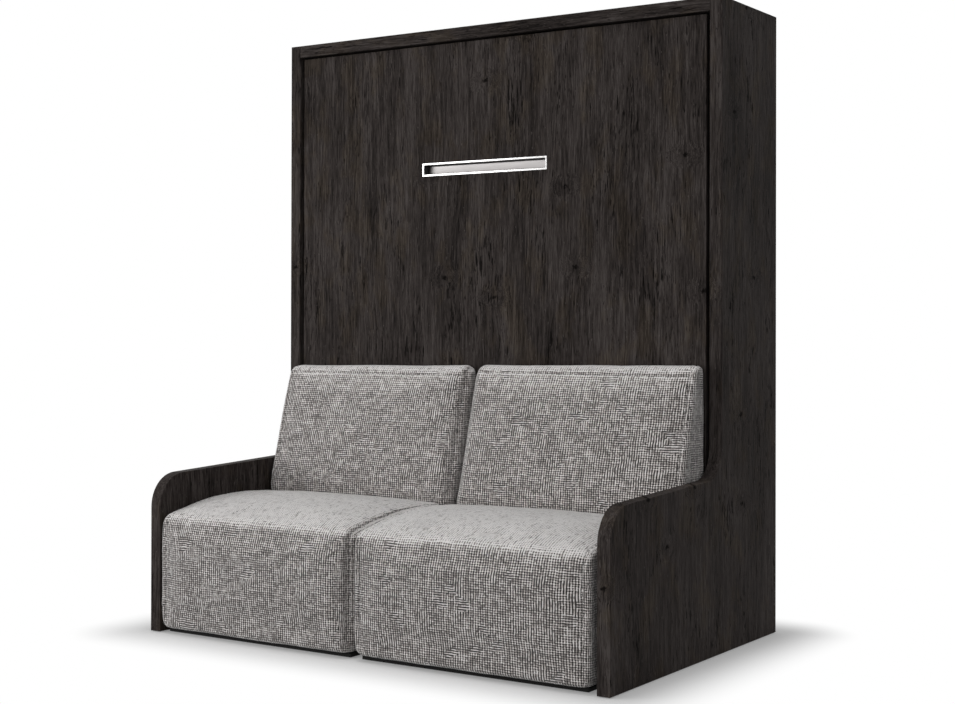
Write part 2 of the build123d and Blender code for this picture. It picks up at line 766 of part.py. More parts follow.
nest_reach = seat_rear_radius + cushion_bottom_radius + cushion_nest_gap
seat_fall = (seat_crest_height - seat_rear_height) / (seat_rear_y - seat_crest_y)
seat_round_y = seat_rear_y - seat_rear_radius
seat_round_z = seat_rear_height + seat_top_crown + seat_rear_radius * (seat_fall - hypot(1, seat_fall))
nest_y = seat_round_y + nest_reach * cos(radians(cushion_nest_angle))
nest_z = seat_round_z + nest_reach * sin(radians(cushion_nest_angle))
cushion_back_y = door_face - strip_thickness - strip_clearance
cushion_base_z = nest_z - cushion_bottom_radius
cushion_height = seat_rear_height + cushion_rise
cushion_rake = cushion_lean(cushion_back_y - cushion_top_depth - nest_y, cushion_height - nest_z)
rake_run = tan(cushion_rake)
face_y = nest_y - cushion_bottom_radius / cos(cushion_rake)


def cushion_outline_at(lift):
    """The outline of a cushion whose top is lifted along the face."""
    def outline(fullness):
        swell = cushion_swell * fullness
        top_swell = cushion_top_swell * fullness
        middle_z = centre((nest_z, cushion_height))
        top_z = cushion_height + lift + top_swell
        return [
            (face_y + (cushion_base_z - nest_z) * rake_run, cushion_base_z),
            (face_y + (middle_z - nest_z) * rake_run - swell - edge_round, middle_z),
            (face_y + (top_z - nest_z) * rake_run, top_z),
            (cushion_back_y, cushion_height + lift - cushion_top_fall),
            (cushion_back_y, cushion_base_z),
        ]

    return outline


# The right cushion is filled a little higher than the left one
cushion_outline = {"left": cushion_outline_at(0.0), "right": cushion_outline_at(cushion_right_lift)}
cushion_face_radius = easing_radius(cushion_outline["left"](1), 1, cushion_face_arc_share)
cushion_radii = (cushion_bottom_radius, cushion_face_radius, cushion_top_radius, cushion_back_radius,
                 cushion_back_radius)
cushion_x = {
    "left": (cushion_side_gap - inner_half, dividing_x - cushion_gap / 2),
    "right": (dividing_x + cushion_gap / 2, inner_half - cushion_side_gap),
}
for side in sides:
    soft_block(f"back_cushion_{side}", cushion_x[side], cushion_outline[side], cushion_radii,
               cushion_edge_radius)

with BuildPart() as cushion_strips:
    for start_x, end_x in cushion_x.values():
        for share in strip_height_shares:
            strip_z = cushion_base_z + share * (cushion_height - cushion_base_z)
            block((start_x + strip_margin, end_x - strip_margin), (door_face - strip_thickness, door_face),
                  (strip_z, strip_z + strip_width))
save(cushion_strips, "cushion_strips")

# Seat unit: base boards, glides, the board that ties the blocks, and the shoe on the floor track
base_bottom = seat_bottom - seat_base_thickness
base_y = (seat_front_y + seat_base_inset, seat_rear_y - seat_base_inset)
base_x = {side: (start_x + seat_base_inset, end_x - seat_base_inset)
          for side, (start_x, end_x) in seat_x.items()}
for side in sides:
    board_piece(f"seat_base_{side}", base_x[side], base_y, (base_bottom, seat_bottom))

with BuildPart() as seat_glides:
    for board_x in base_x.values():
        with BuildSketch(Plane.XY):
            with Locations((centre(board_x), centre(base_y))):
                with GridLocations(span(board_x) - 2 * seat_glide_margin,
                                   span(base_y) - 2 * seat_glide_margin, 2, 2):
                    Circle(seat_glide_radius)
        extrude(amount=base_bottom)
save(seat_glides, "seat_glides")

tie_x = (seat_x["left"][0] + tie_margin, seat_x["right"][1] - tie_margin)
tie_y = (seat_rear_y, seat_rear_y + tie_thickness)
tie_z = (tie_floor_gap, tie_floor_gap + tie_height)
board_piece("seat_tie_board", tie_x, tie_y, tie_z)


def about_track(half):
    """The limits along X of a piece that is centred on the floor track."""
    return (dividing_x - half, dividing_x + half)


shoe_half = track_width / 2 + shoe_clearance + shoe_wall
track_top = track_floor_gap + track_height
with BuildPart() as guide_shoe:
    block(about_track(shoe_half), (tie_y[1], tie_y[1] + shoe_length),
          (track_floor_gap, track_top + shoe_clearance + shoe_wall))
    block(about_track(shoe_half), (tie_y[1], tie_y[1] + shoe_wall),
          (track_floor_gap, tie_z[0] + tie_floor_gap))
    block(about_track(track_width / 2 + shoe_clearance),
          (tie_y[1] - overrun, tie_y[1] + shoe_length + overrun),
          (track_floor_gap - overrun, track_top + shoe_clearance), Mode.SUBTRACT)
save(guide_shoe, "guide_shoe")

board_piece("guide_track", about_track(track_width / 2), (plinth_front - track_reach, plinth_front),
            (track_floor_gap, track_top))

# Values that the joints need
swing_radians = radians(bed_swing)
metre = 1000.0
print("pivot y, z", pivot_y, pivot_height)
print("spring stud y, z", stud_y, spring_stud_height, "bed stud y, z", crank_up)
print("spring length up, down", spring_long, spring_short)
print("spring line", spring_line_y, spring_line_z)
print("spring swing ratio", radians(spring_angle_down - spring_angle_up) / swing_radians)
print("spring slide ratio, m per rad", (spring_short - spring_long) / metre / swing_radians)
print("seat slide ratio, m per rad", seat_travel / metre / swing_radians)
print("leg pivot y, z", leg_pivot_y, leg_pivot_height, "leg length", leg_length)
print("cushion nest y, z", nest_y, nest_z)
print("easing radii of seat crest and cushion face", seat_crest_radius, cushion_face_radius)
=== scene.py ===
import json
from math import cos, pi, radians, sin

import bmesh
import bpy
import numpy as np
from bpy.props import FloatProperty, FloatVectorProperty, IntProperty, PointerProperty
from bpy.types import Operator, Panel, PropertyGroup
from mathutils import Matrix, Vector, noise


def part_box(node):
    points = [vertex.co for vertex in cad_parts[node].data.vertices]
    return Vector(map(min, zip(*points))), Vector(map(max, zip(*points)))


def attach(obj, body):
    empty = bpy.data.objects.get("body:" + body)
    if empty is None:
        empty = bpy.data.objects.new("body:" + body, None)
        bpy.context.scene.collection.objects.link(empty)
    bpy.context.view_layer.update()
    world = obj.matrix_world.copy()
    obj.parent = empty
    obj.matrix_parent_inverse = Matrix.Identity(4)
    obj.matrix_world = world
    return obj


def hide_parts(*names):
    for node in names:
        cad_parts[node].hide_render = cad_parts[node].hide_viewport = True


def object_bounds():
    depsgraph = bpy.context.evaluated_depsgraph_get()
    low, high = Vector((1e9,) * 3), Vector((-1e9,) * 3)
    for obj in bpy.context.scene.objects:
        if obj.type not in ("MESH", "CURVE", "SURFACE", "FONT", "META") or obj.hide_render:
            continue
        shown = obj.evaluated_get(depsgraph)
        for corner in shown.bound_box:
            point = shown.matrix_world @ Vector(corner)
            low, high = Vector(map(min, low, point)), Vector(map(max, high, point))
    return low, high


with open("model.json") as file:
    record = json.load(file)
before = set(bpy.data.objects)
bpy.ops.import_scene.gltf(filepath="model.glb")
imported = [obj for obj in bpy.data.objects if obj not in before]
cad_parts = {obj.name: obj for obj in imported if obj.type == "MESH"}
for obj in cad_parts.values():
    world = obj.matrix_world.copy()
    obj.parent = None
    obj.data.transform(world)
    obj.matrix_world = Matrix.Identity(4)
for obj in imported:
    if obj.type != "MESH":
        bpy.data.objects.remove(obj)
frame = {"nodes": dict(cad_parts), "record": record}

bl_info = {
    "name": "Wall bed with sofa",
    "version": (1, 0, 0),
    "blender": (4, 5, 0),
    "location": "3D View > Sidebar > Wall bed",
    "description": "Oak boards, tweed seats and cushions, a mattress and fittings for a fold-down wall bed",
    "category": "Add Mesh",
}

SIDES = ("left", "right")
PHOTO_WIDTH = 955
PHOTO_HEIGHT = 704
SENSOR = 36.0
SEAM_SLACK = 0.0004
SEAM_START = 0.001
TINY = 1e-9
CLOTH = {"quality": 4, "mass": 0.3, "tension_stiffness": 15, "compression_stiffness": 15,
         "shear_stiffness": 5, "bending_stiffness": 0.5, "use_pressure": True}
CLOTH_FRAMES = 20
WHITE = (1.0, 1.0, 1.0)

cad_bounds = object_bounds()
nodes = frame["nodes"]
slot_of = {part["node"]: part["material_slot"] for part in frame["record"]["subparts"]}


# Settings

def colour_setting(name, description, default):
    return FloatVectorProperty(name=name, description=description, default=default, subtype="COLOR",
                               size=3, min=0.0, max=1.0)


def length_setting(name, description, default):
    return FloatProperty(name=name, description=description, default=default, unit="LENGTH", min=0.0)


def power_setting(name, description, default):
    return FloatProperty(name=name, description=description, default=default, unit="POWER", min=0.0)


class OakSettings(PropertyGroup):
    ground: colour_setting("Ground", "Stained oak between the streaks", (0.0418, 0.0350, 0.0326))
    shade: colour_setting("Shade", "Darkest streaks of the grain", (0.0105, 0.0088, 0.0082))
    light: colour_setting("Light", "Lightest fibres of the grain", (0.0850, 0.0745, 0.0705))
    wander: length_setting("Wander", "How far the grain strays sideways", 0.055)
    waver: length_setting("Waver", "How far the grain strays over a hand's breadth", 0.008)
    plank: length_setting("Plank", "Width of the broad changes of tone", 0.11)
    plank_length: length_setting("Plank length", "Length of the broad changes of tone", 0.60)
    streak: length_setting("Streak", "Width of one streak", 0.018)
    streak_length: length_setting("Streak length", "Length of one streak", 0.34)
    fibre: length_setting("Fibre", "Width of one bundle of fibres", 0.0050)
    fibre_length: length_setting("Fibre length", "Length of one bundle of fibres", 0.150)
    bristle: length_setting("Bristle", "Width of one bristle of the brushed face", 0.0034)
    bristle_length: length_setting("Bristle length", "Length of one bristle", 0.060)
    knot_spacing: length_setting("Knot spacing", "Distance between the places of knots", 0.34)
    knot: length_setting("Knot", "Radius of a knot", 0.012)
    fray: length_setting("Fray", "How ragged a knot's edge is", 0.045)
    check: length_setting("Check", "Width of a crack in the wood", 0.0065)
    check_length: length_setting("Check length", "Length of a crack", 0.075)
    crowd: length_setting("Crowd", "Width of the places with more cracks and pores", 0.075)
    crowd_length: length_setting("Crowd length", "Length of the places with more of them", 0.26)
    pore: length_setting("Pore", "Width of a dark pore", 0.0045)
    pore_length: length_setting("Pore length", "Length of a dark pore", 0.024)
    fleck: length_setting("Fleck", "Width of a pale fleck", 0.005)
    fleck_length: length_setting("Fleck length", "Length of a pale fleck", 0.018)
    relief: length_setting("Relief", "Depth of the brushed grain", 0.0006)


class TweedSettings(PropertyGroup):
    bright: colour_setting("Bright yarn", "Slubs of the light yarn", (0.93, 0.90, 0.885))
    light: colour_setting("Light yarn", "Light yarn of the weave", (0.635, 0.585, 0.561))
    middle: colour_setting("Middle yarn", "Yarn between light and dark", (0.222, 0.202, 0.194))
    dark: colour_setting("Dark yarn", "Dark yarn of the weave", (0.030, 0.028, 0.027))
    pitch: length_setting("Pitch", "Distance between two threads", 0.0074)
    patch: length_setting("Patch", "Size of the patches in which the weave changes", 0.034)
    wander: length_setting("Wander", "How far the threads stray from straight", 0.008)
    quiver: length_setting("Quiver", "How far a thread strays within a few of its neighbours", 0.0022)
    relief: length_setting("Relief", "Depth between the threads", 0.0016)


class CoverSettings(PropertyGroup):
    voxel: length_setting("Voxel", "Size of the cover's first mesh", 0.010)
    pressure: FloatProperty(name="Pressure", description="Pressure inside the cover", default=4.0, min=0.0)
    swell: length_setting("Swell", "Most that the cover may puff out", 0.012)
    evening: IntProperty(name="Evening", description="How often the swell is evened out", default=24, min=0)
    gap_draw: length_setting("Gap draw", "How far the left covers draw back from the right ones", 0.009)
    gap_width: length_setting("Gap width", "How far from its end a left cover starts to do so", 0.08)
    front_reach: length_setting("Front reach", "How far the filling pushes a seat's front out", 0.011)
    rise_foot: length_setting("Rise foot", "How far above its foot a cover starts to rise", 0.15)
    end_swell: length_setting("End swell", "Most that the cover's ends may puff out", 0.001)
    corner_fill: length_setting("Corner fill", "How far the filling pushes the ends' edges out", 0.015)
    dent: length_setting("Dent", "Depth of the soft dents in the cover", 0.0018)
    seam_width: length_setting("Seam width", "How far the cover is drawn in beside a seam", 0.0035)
    seam_depth: length_setting("Seam depth", "Depth of the valley at a seam", 0.0034)
    pucker: length_setting("Pucker", "Height of the gathers beside a seam", 0.0006)
    stitch_pitch: length_setting("Stitch pitch", "Distance from one stitch to the next", 0.0235)
    stitch_length: length_setting("Stitch length", "Length of one stitch", 0.0150)
    stitch_radius: length_setting("Stitch radius", "Radius of the sewing thread", 0.0010)


class MattressSettings(PropertyGroup):
    voxel: length_setting("Voxel", "Size of the cover's first mesh", 0.016)
    quilt: length_setting("Quilt", "Width of one quilted diamond", 0.20)
    quilt_depth: length_setting("Quilt depth", "Depth of the quilting lines", 0.010)
    border: length_setting("Border", "Width of the plain border round the quilting", 0.055)
    border_line: length_setting("Border line", "Depth of the lines sewn round the sides", 0.003)
    line_width: length_setting("Line width", "Width of the lines sewn round border and sides", 0.007)
    corner: length_setting("Corner", "Radius of the mattress's corners", 0.060)
    tape_inset: length_setting("Tape inset", "Distance of the edge tape from the faces", 0.0075)
    tape: length_setting("Tape", "Radius of the edge tape", 0.0055)
    cloth: colour_setting("Cloth", "Knitted mattress cloth", (0.62, 0.60, 0.56))
    loop_width: length_setting("Loop width", "Width of one knitted loop", 0.0024)
    loop_height: length_setting("Loop height", "Height of one knitted loop", 0.0018)
    figure: length_setting("Figure", "Size of one raised figure of the knit", 0.024)


class StageSettings(PropertyGroup):
    eye: FloatVectorProperty(name="Eye", description="Place of the camera", size=3,
                             default=(3.1739, -4.7496, 1.0898), subtype="TRANSLATION", unit="LENGTH")
    azimuth: FloatProperty(name="Azimuth", description="Turn of the camera from straight ahead",
                           default=radians(33.72), subtype="ANGLE")
    pitch: FloatProperty(name="Pitch", description="Rise of the camera's line of sight", default=0.0051,
                         subtype="ANGLE")
    roll: FloatProperty(name="Roll", description="Tilt of the camera", default=0.0022, subtype="ANGLE")
    focal_px: FloatProperty(name="Focal length", description="Focal length in pixels of the photograph",
                            default=1611.8)
    axis_px: FloatVectorProperty(name="Axis", description="Pixel of the photograph that the lens points at",
                                 default=(464.6, 315.9), size=2)
    key: power_setting("Key", "Power of the front left softbox", 86.0)
    top: power_setting("Top", "Power of the overhead softbox", 71.0)
    side: power_setting("Side", "Power of the front right softbox", 48.0)
    room: FloatProperty(name="Room", description="Strength of the light from all round", default=0.36)
    floor: colour_setting("Floor", "Pale floor", (0.38, 0.38, 0.38))
    seen_floor: colour_setting("Seen floor", "Pale floor as the camera sees it", (0.72, 0.72, 0.72))
    glow: FloatProperty(name="Glow", description="White that the camera adds to the floor", default=0.20)
    fade: length_setting("Fade", "How far from the object the floor turns plain white", 0.30)


class WallBedSettings(PropertyGroup):
    oak: PointerProperty(type=OakSettings)
    tweed: PointerProperty(type=TweedSettings)
    cover: PointerProperty(type=CoverSettings)
    mattress: PointerProperty(type=MattressSettings)
    stage: PointerProperty(type=StageSettings)


# Shader building

class Value:
    """A node socket that takes part in arithmetic. Each operator adds one Math node."""

    def __init__(self, tree, socket):
        self.tree = tree
        self.socket = socket

    def __add__(self, other):
        return self.tree.math("ADD", self, other)

    __radd__ = __add__

    def __sub__(self, other):
        return self.tree.math("SUBTRACT", self, other)

    def __rsub__(self, other):
        return self.tree.math("SUBTRACT", other, self)

    def __mul__(self, other):
        return self.tree.math("MULTIPLY", self, other)

    __rmul__ = __mul__

    def __truediv__(self, other):
        return self.tree.math("DIVIDE", self, other)

    def __pow__(self, other):
        return self.tree.math("POWER", self, other)

    def __gt__(self, other):
        return self.tree.math("GREATER_THAN", self, other)

    def __lt__(self, other):
        return self.tree.math("LESS_THAN", self, other)

    def __abs__(self):
        return self.tree.math("ABSOLUTE", self)


class ShaderTree:
    """A node tree with one output, shader maths, and any other node through add."""

    def __init__(self, tree, output):
        self.node_tree = tree
        self.node_tree.nodes.clear()
        self.output = self.node_tree.nodes.new(output)

    def show(self, surface):
        """Links a surface to the tree's output."""
        self.fill(self.output.inputs["Surface"], surface)

    def fill(self, socket, value):
        """Gives any node's socket a link, a number, a vector or a colour."""
        if isinstance(value, Value):
            self.node_tree.links.new(value.socket, socket)
        elif isinstance(socket.default_value, float):
            socket.default_value = value
        elif len(socket.default_value) == 4:
            socket.default_value = (*tuple(value)[:3], 1.0)
        else:
            socket.default_value = tuple(value)

    def add(self, kind, settings=None, inputs=None, output=0):
        """Adds a node: its settings first, then the values or links of its sockets."""
        node = self.node_tree.nodes.new(kind)
        for name, value in (settings or {}).items():
            if name == "stops":
                self.set_stops(node.color_ramp, value)
            else:
                setattr(node, name, value)
        for name, value in (inputs or {}).items():
            self.fill(node.inputs[name], value)
        return Value(self, node.outputs[output])

    @staticmethod
    def set_stops(ramp, stops):
        while len(ramp.elements) < len(stops):
            ramp.elements.new(0.5)
        for element, (position, colour) in zip(ramp.elements, stops):
            element.position = position
            element.color = (*tuple(colour)[:3], 1.0)

    def math(self, operation, first, second=0.0):
        return self.add("ShaderNodeMath", {"operation": operation}, {0: first, 1: second})

    def sine(self, value):
        return self.math("SINE", value)

    def whole(self, value):
        return self.math("FLOOR", value)

    def larger(self, first, second):
        return self.math("MAXIMUM", first, second)

    def coordinates(self, output="Object"):
        return self.add("ShaderNodeTexCoord", output=output)

    def split(self, vector):
        node = self.add("ShaderNodeSeparateXYZ", inputs={0: vector}).socket.node
        return [Value(self, socket) for socket in node.outputs]

    def join(self, x=0.0, y=0.0, z=0.0):
        return self.add("ShaderNodeCombineXYZ", inputs={0: x, 1: y, 2: z})

    def soft_step(self, value, low, high):
        """0 below low, 1 above high and smooth between. With low above high it falls."""
        return self.add("ShaderNodeMapRange", {"interpolation_type": "SMOOTHSTEP"},
                        {"Value": value, "From Min": low, "From Max": high})

    def mix(self, factor, first, second):
        """A number between two numbers."""
        return self.add("ShaderNodeMix", {"data_type": "FLOAT"}, {0: factor, 2: first, 3: second})

    def mix_colour(self, factor, first, second, blend="MIX"):
        return self.add("ShaderNodeMix", {"data_type": "RGBA", "blend_type": blend},
                        {0: factor, 6: first, 7: second}, 2)

    def cloud(self, vector, scale=1.0, detail=2.0, roughness=0.5):
        return self.add("ShaderNodeTexNoise", {},
                        {"Vector": vector, "Scale": scale, "Detail": detail, "Roughness": roughness})

    def cells(self, vector, feature="F1"):
        """The node of a flat pattern of uneven cells."""
        return self.add("ShaderNodeTexVoronoi", {"voronoi_dimensions": "2D", "feature": feature},
                        {"Vector": vector, "Scale": 1.0}).socket.node

    def speck(self, vector):
        """An even random number for each whole-number place."""
        return self.add("ShaderNodeTexWhiteNoise", {"noise_dimensions": "2D"}, {"Vector": vector})

    def seen(self):
        """1 where the camera looks, straight, in a mirror or through glass, and 0 for other light."""
        rays = [self.add("ShaderNodeLightPath", output=f"Is {kind} Ray")
                for kind in ("Camera", "Glossy", "Transmission")]
        return self.larger(rays[0], self.larger(rays[1], rays[2]))


class Finish(ShaderTree):
    """One material, built round a Principled shader."""

    def __init__(self, name, **constants):
        self.material = bpy.data.materials.new(name)
        self.material.use_nodes = True
        super().__init__(self.material.node_tree, "ShaderNodeOutputMaterial")
        self.own = self.add("ShaderNodeBsdfPrincipled")
        self.show(self.own)
        for socket, value in constants.items():
            self.set(socket.replace("_", " ").title().replace("Ior", "IOR"), value)

    def set(self, socket, value):
        """Gives one socket of the shader a constant or a link."""
        self.fill(self.own.socket.node.inputs[socket], value)

    def bump(self, height, distance, strength=1.0):
        self.set("Normal", self.add("ShaderNodeBump", {},
                                    {"Height": height, "Distance": distance, "Strength": strength}))


def shaded(colour, share):
    """A colour made lighter or darker by a share, at most white."""
    return tuple(min(1.0, share * part) for part in colour)


def oak(settings, name, level=False):
    """Dark stained oak with frayed fibres, cracks, knots and warm patches. Upright grain unless level."""
    wood = Finish(name, specular_ior_level=0.02)
    x, y, z = wood.split(wood.coordinates())
    first, along = (z, x) if level else (x, z)
    flat = first + y

    spacing = settings.knot_spacing
    tall = 1.5 * spacing
    knots = wood.cells(wood.join(flat / spacing, along / tall))
    place = wood.split(Value(wood, knots.outputs["Position"]))
    beside = flat - place[0] * spacing
    above = along - place[1] * tall
    frayed = wood.cloud(wood.join(flat * 120, along * 80), detail=3.0, roughness=0.7) - 0.5
    reach = (beside * beside + above * above * 2.2) ** 0.5 + frayed * settings.fray
    chosen = wood.split(Value(wood, knots.outputs["Color"]))[0] > 0.40
    core = wood.soft_step(reach, 1.25 * settings.knot, 0.45 * settings.knot) * chosen
    halo = wood.soft_step(reach, 6.5 * settings.knot, settings.knot) * chosen

    slow = wood.cloud(wood.join(first * 1.7, y * 1.7, along * 0.8), detail=1.0) - 0.5
    quick = wood.cloud(wood.join(first * 11, y * 11, along * 7), detail=2.0) - 0.5
    stray = slow * settings.wander + quick * settings.waver - beside * halo * 0.55
    side = first + stray
    depth = 0.72 * y + stray

    def grain(width, length, detail, roughness=0.55):
        return wood.cloud(wood.join(side / width, depth / width, along / length), detail=detail,
                          roughness=roughness) - 0.5

    plank = grain(settings.plank, settings.plank_length, 3.0)
    streak = grain(settings.streak, settings.streak_length, 4.0, 0.62)
    fibre = grain(settings.fibre, settings.fibre_length, 4.0, 0.7)
    bristle = grain(settings.bristle, settings.bristle_length, 3.0, 0.75)
    checks = grain(settings.check, settings.check_length, 2.0, 0.6)
    crowd = grain(settings.crowd, settings.crowd_length, 2.0)
    pore = grain(settings.pore, settings.pore_length, 1.0)
    fleck = grain(settings.fleck, settings.fleck_length, 1.0)

    check = wood.soft_step(checks + crowd * 0.45, 0.150, 0.200)
    pores = wood.soft_step(pore + crowd * 0.3, 0.16, 0.23)
    flecks = wood.soft_step(fleck, -0.215, -0.27)
    tone = 0.5 + plank * 0.70 + streak * 0.70 + fibre * 1.00 + bristle * 1.20 - halo * 0.05
    stops = [(0.18, settings.shade), (0.50, settings.ground), (0.82, settings.light)]
    colour = wood.add("ShaderNodeValToRGB", {"stops": stops}, {"Fac": tone})
    hue = wood.cloud(wood.join(side * 12, depth * 12, along * 6.5), detail=3.0, roughness=0.6)
    warm = wood.mix_colour(wood.soft_step(hue, 0.48, 0.66), (1.0, 0.99, 0.99), (1.10, 1.045, 0.93))
    colour = wood.mix_colour(1.0, colour, warm, "MULTIPLY")
    dark = wood.larger(check * 0.85, wood.larger(core * 0.90, pores * 0.55))
    colour = wood.mix_colour(dark, colour, shaded(settings.shade, 0.30))
    colour = wood.mix_colour(flecks * 0.5, colour, shaded(settings.light, 1.5))
    wood.set("Base Color", colour)
    wood.set("Roughness", 0.58 + fibre * 0.5 + dark * 0.3)
    wood.bump(0.5 + fibre * 0.7 + streak * 0.4 + bristle * 0.3 - check * 0.9 - core * 0.5 - pores * 0.4,
              settings.relief)
    return wood.material


def tweed(settings, name):
    """Heathered weave: light dots between dark gaps, which run into ribs from patch to patch.

    The threads follow x and z on the front, turn the corner with y on the ends, and lie along x and y
    on top, where upward faces are painted lighter in brushed streaks, as if lit from above.
    """
    cloth = Finish(name, roughness=0.95, specular_ior_level=0.10, sheen_weight=0.75, sheen_roughness=0.45)
    x, y, z = cloth.split(cloth.coordinates())
    turn_x, _, turn_z = cloth.split(cloth.coordinates("Normal"))
    on_top = abs(turn_z) > 0.72
    on_end = ((turn_x > 0.30) - (turn_x < -0.30)) * (1 - on_top)

    def strays(scale):
        """Three noises of one scale, each about 0."""
        noises = cloth.add("ShaderNodeTexNoise", {}, {"Vector": cloth.coordinates(), "Scale": scale}, 1)
        return [value - 0.5 for value in cloth.split(noises)]

    broad_u, broad_v, drift = strays(20)
    fine_u, fine_v, fuzz = strays(130)
    stray_u = broad_u * settings.wander + fine_u * settings.quiver
    stray_v = broad_v * settings.wander + fine_v * settings.quiver
    u = (x + on_end * y + stray_u) / (1.22 * settings.pitch)
    v = (cloth.mix(on_top, z, y) + stray_v) / settings.pitch
    column = cloth.whole(u)
    row = cloth.whole(v)

    share = settings.pitch / settings.patch
    ragged = cloth.speck(cloth.join(column, row)) * 0.30
    blocks = cloth.join(column * share + ragged, row * share + ragged)
    choice = cloth.split(Value(cloth, cloth.cells(blocks).outputs["Color"]))[0]
    border = cloth.cells(blocks, "DISTANCE_TO_EDGE").outputs["Distance"]
    crack = cloth.soft_step(Value(cloth, border), 0.16, 0.03)
    across = cloth.sine(u * (2 * pi))
    along = cloth.sine(v * (2 * pi))
    ribs = cloth.soft_step(choice, 0.0, 0.16) * 1.25
    welts = cloth.soft_step(choice, 1.0, 0.72)
    height = (across * ribs + along * welts) / (0.36 + 0.60 * (ribs + welts))

    slub = cloth.speck(cloth.join(column + 0.5, row)) - 0.5
    warp = cloth.speck(cloth.join(column, cloth.whole(v * 0.30 + column * 0.37)))
    weft = cloth.speck(cloth.join(row + 0.5, cloth.whole(u * 0.30 + row * 0.53)))
    loose = (warp > 0.86) + (weft > 0.86)
    hairs = cloth.cloud(cloth.join(u * 2.3, v * 2.3, drift), detail=3.0, roughness=0.7) - 0.5
    # Painted light: faces that turn upwards are made lighter, in streaks, as if lit from above.
    painted_top_light = cloth.soft_step(turn_z, 0.20, 1.0)
    brushed = cloth.cloud(cloth.join(x / 0.0100, y / 0.025, z / 0.010), detail=3.0, roughness=0.6) - 0.5
    tone = (0.440 + height * (0.34 + slub * 0.45 + drift * 0.25) + slub * 0.12 + loose * 0.14 + hairs * 0.18
            + fuzz * 0.10 + painted_top_light * (0.60 + brushed * 3.2))
    stops = [(0.12, settings.dark), (0.42, settings.middle), (0.66, settings.light),
             (0.90, settings.bright)]
    colour = cloth.add("ShaderNodeValToRGB", {"stops": stops}, {"Fac": tone})
    gap = cloth.soft_step(height + slub * 0.2 - crack * 0.40, -0.35, -0.90)
    # On upward faces the dark gaps are weakened too, as part of the painted light from above.
    cloth.set("Base Color", cloth.mix_colour(gap * (0.82 - painted_top_light * 0.34), colour,
                                             shaded(settings.dark, 0.35)))
    cloth.bump(height * 0.5 + hairs * 0.5 - crack * 0.3, settings.relief)
    return cloth.material


def board(name, colour, spread, level=False):
    """Faced or stained board with a faint grain."""
    wood = Finish(name, specular_ior_level=0.12)
    x, y, z = wood.split(wood.coordinates())
    first, along = (z, x) if level else (x, z)
    fibre = wood.cloud(wood.join(first * 260, y * 260, along * 8), detail=4.0, roughness=0.65)
    streak = wood.cloud(wood.join(first * 30, y * 30, along * 1.4), detail=3.0)
    tone = wood.soft_step(fibre * 0.55 + streak * 0.45, 0.30, 0.70)
    wood.set("Base Color", wood.mix_colour(tone, shaded(colour, 1 - spread), shaded(colour, 1 + spread)))
    wood.set("Roughness", 0.52 + tone * 0.14)
    wood.bump(fibre, 0.0004, 0.6)
    return wood.material


def metal(name, colour, roughness, brushed=None, metallic=1.0, relief=0.00003):
    """Plain, plated or brushed metal. brushed is how finely each axis is scratched."""
    steel = Finish(name, metallic=metallic)
    x, y, z = steel.split(steel.coordinates())
    if brushed:
        grain = steel.cloud(steel.join(x * brushed[0], y * brushed[1], z * brushed[2]), detail=4.0,
                            roughness=0.7)
    else:
        grain = steel.cloud(steel.coordinates(), 900, detail=3.0)
    stain = steel.cloud(steel.coordinates(), 14, detail=2.0)
    tone = grain * 0.6 + stain * 0.4
    steel.set("Base Color", steel.mix_colour(tone, shaded(colour, 0.86), shaded(colour, 1.1)))
    steel.set("Roughness", roughness + (tone - 0.5) * 0.22)
    steel.bump(grain, relief)
    return steel.material


def moulded(name, colour, roughness, grain_scale=1500, relief=0.00008):
    """Moulded plastic or rubber with a fine texture and a little dust."""
    plastic = Finish(name)
    grain = plastic.cloud(plastic.coordinates(), grain_scale, detail=2.0)
    dust = plastic.cloud(plastic.coordinates(), 30, detail=3.0)
    plastic.set("Base Color", plastic.mix_colour(plastic.soft_step(dust, 0.4, 0.8), colour,
                                                 tuple(0.02 + 1.25 * part for part in colour)))
    plastic.set("Roughness", roughness + (grain - 0.5) * 0.2)
    plastic.bump(grain, relief)
    return plastic.material


def webbing(name, colour, pitch):
    """Woven tape that runs along X, with its sides along Y."""
    tape = Finish(name, roughness=0.85, sheen_weight=0.2)
    x, y, z = tape.split(tape.coordinates())
    u = (x + y) / pitch
    v = z / pitch
    weave = tape.larger(abs(tape.sine(u * pi)) * (0.5 + 0.5 * tape.sine(v * pi)),
                        abs(tape.sine(v * pi)) * (0.5 - 0.5 * tape.sine(u * pi)))
    tape.set("Base Color", tape.mix_colour(weave, shaded(colour, 0.4), colour))
    tape.bump(weave, 0.0005)
    return tape.material


def knit(settings, name):
    """Pale knitted mattress cloth, with small raised figures."""
    cloth = Finish(name, roughness=0.9, sheen_weight=0.3)
    x, y, z = cloth.split(cloth.coordinates())
    loops = (abs(cloth.sine(x * (pi / settings.loop_width)))
             * abs(cloth.sine((z + y) * (pi / settings.loop_height))))
    figure = cloth.sine(x * (pi / settings.figure)) * cloth.sine(z * (pi / settings.figure))
    raised = cloth.soft_step(figure, 0.15, 0.45)
    mottle = cloth.cloud(cloth.coordinates(), 60, detail=3.0)
    tone = raised * 0.35 + mottle * 0.35 + loops * 0.30
    cloth.set("Base Color", cloth.mix_colour(tone, shaded(settings.cloth, 0.80),
                                             shaded(settings.cloth, 1.12)))
    cloth.bump(loops * 0.4 + raised * 0.6, 0.0007)
    return cloth.material


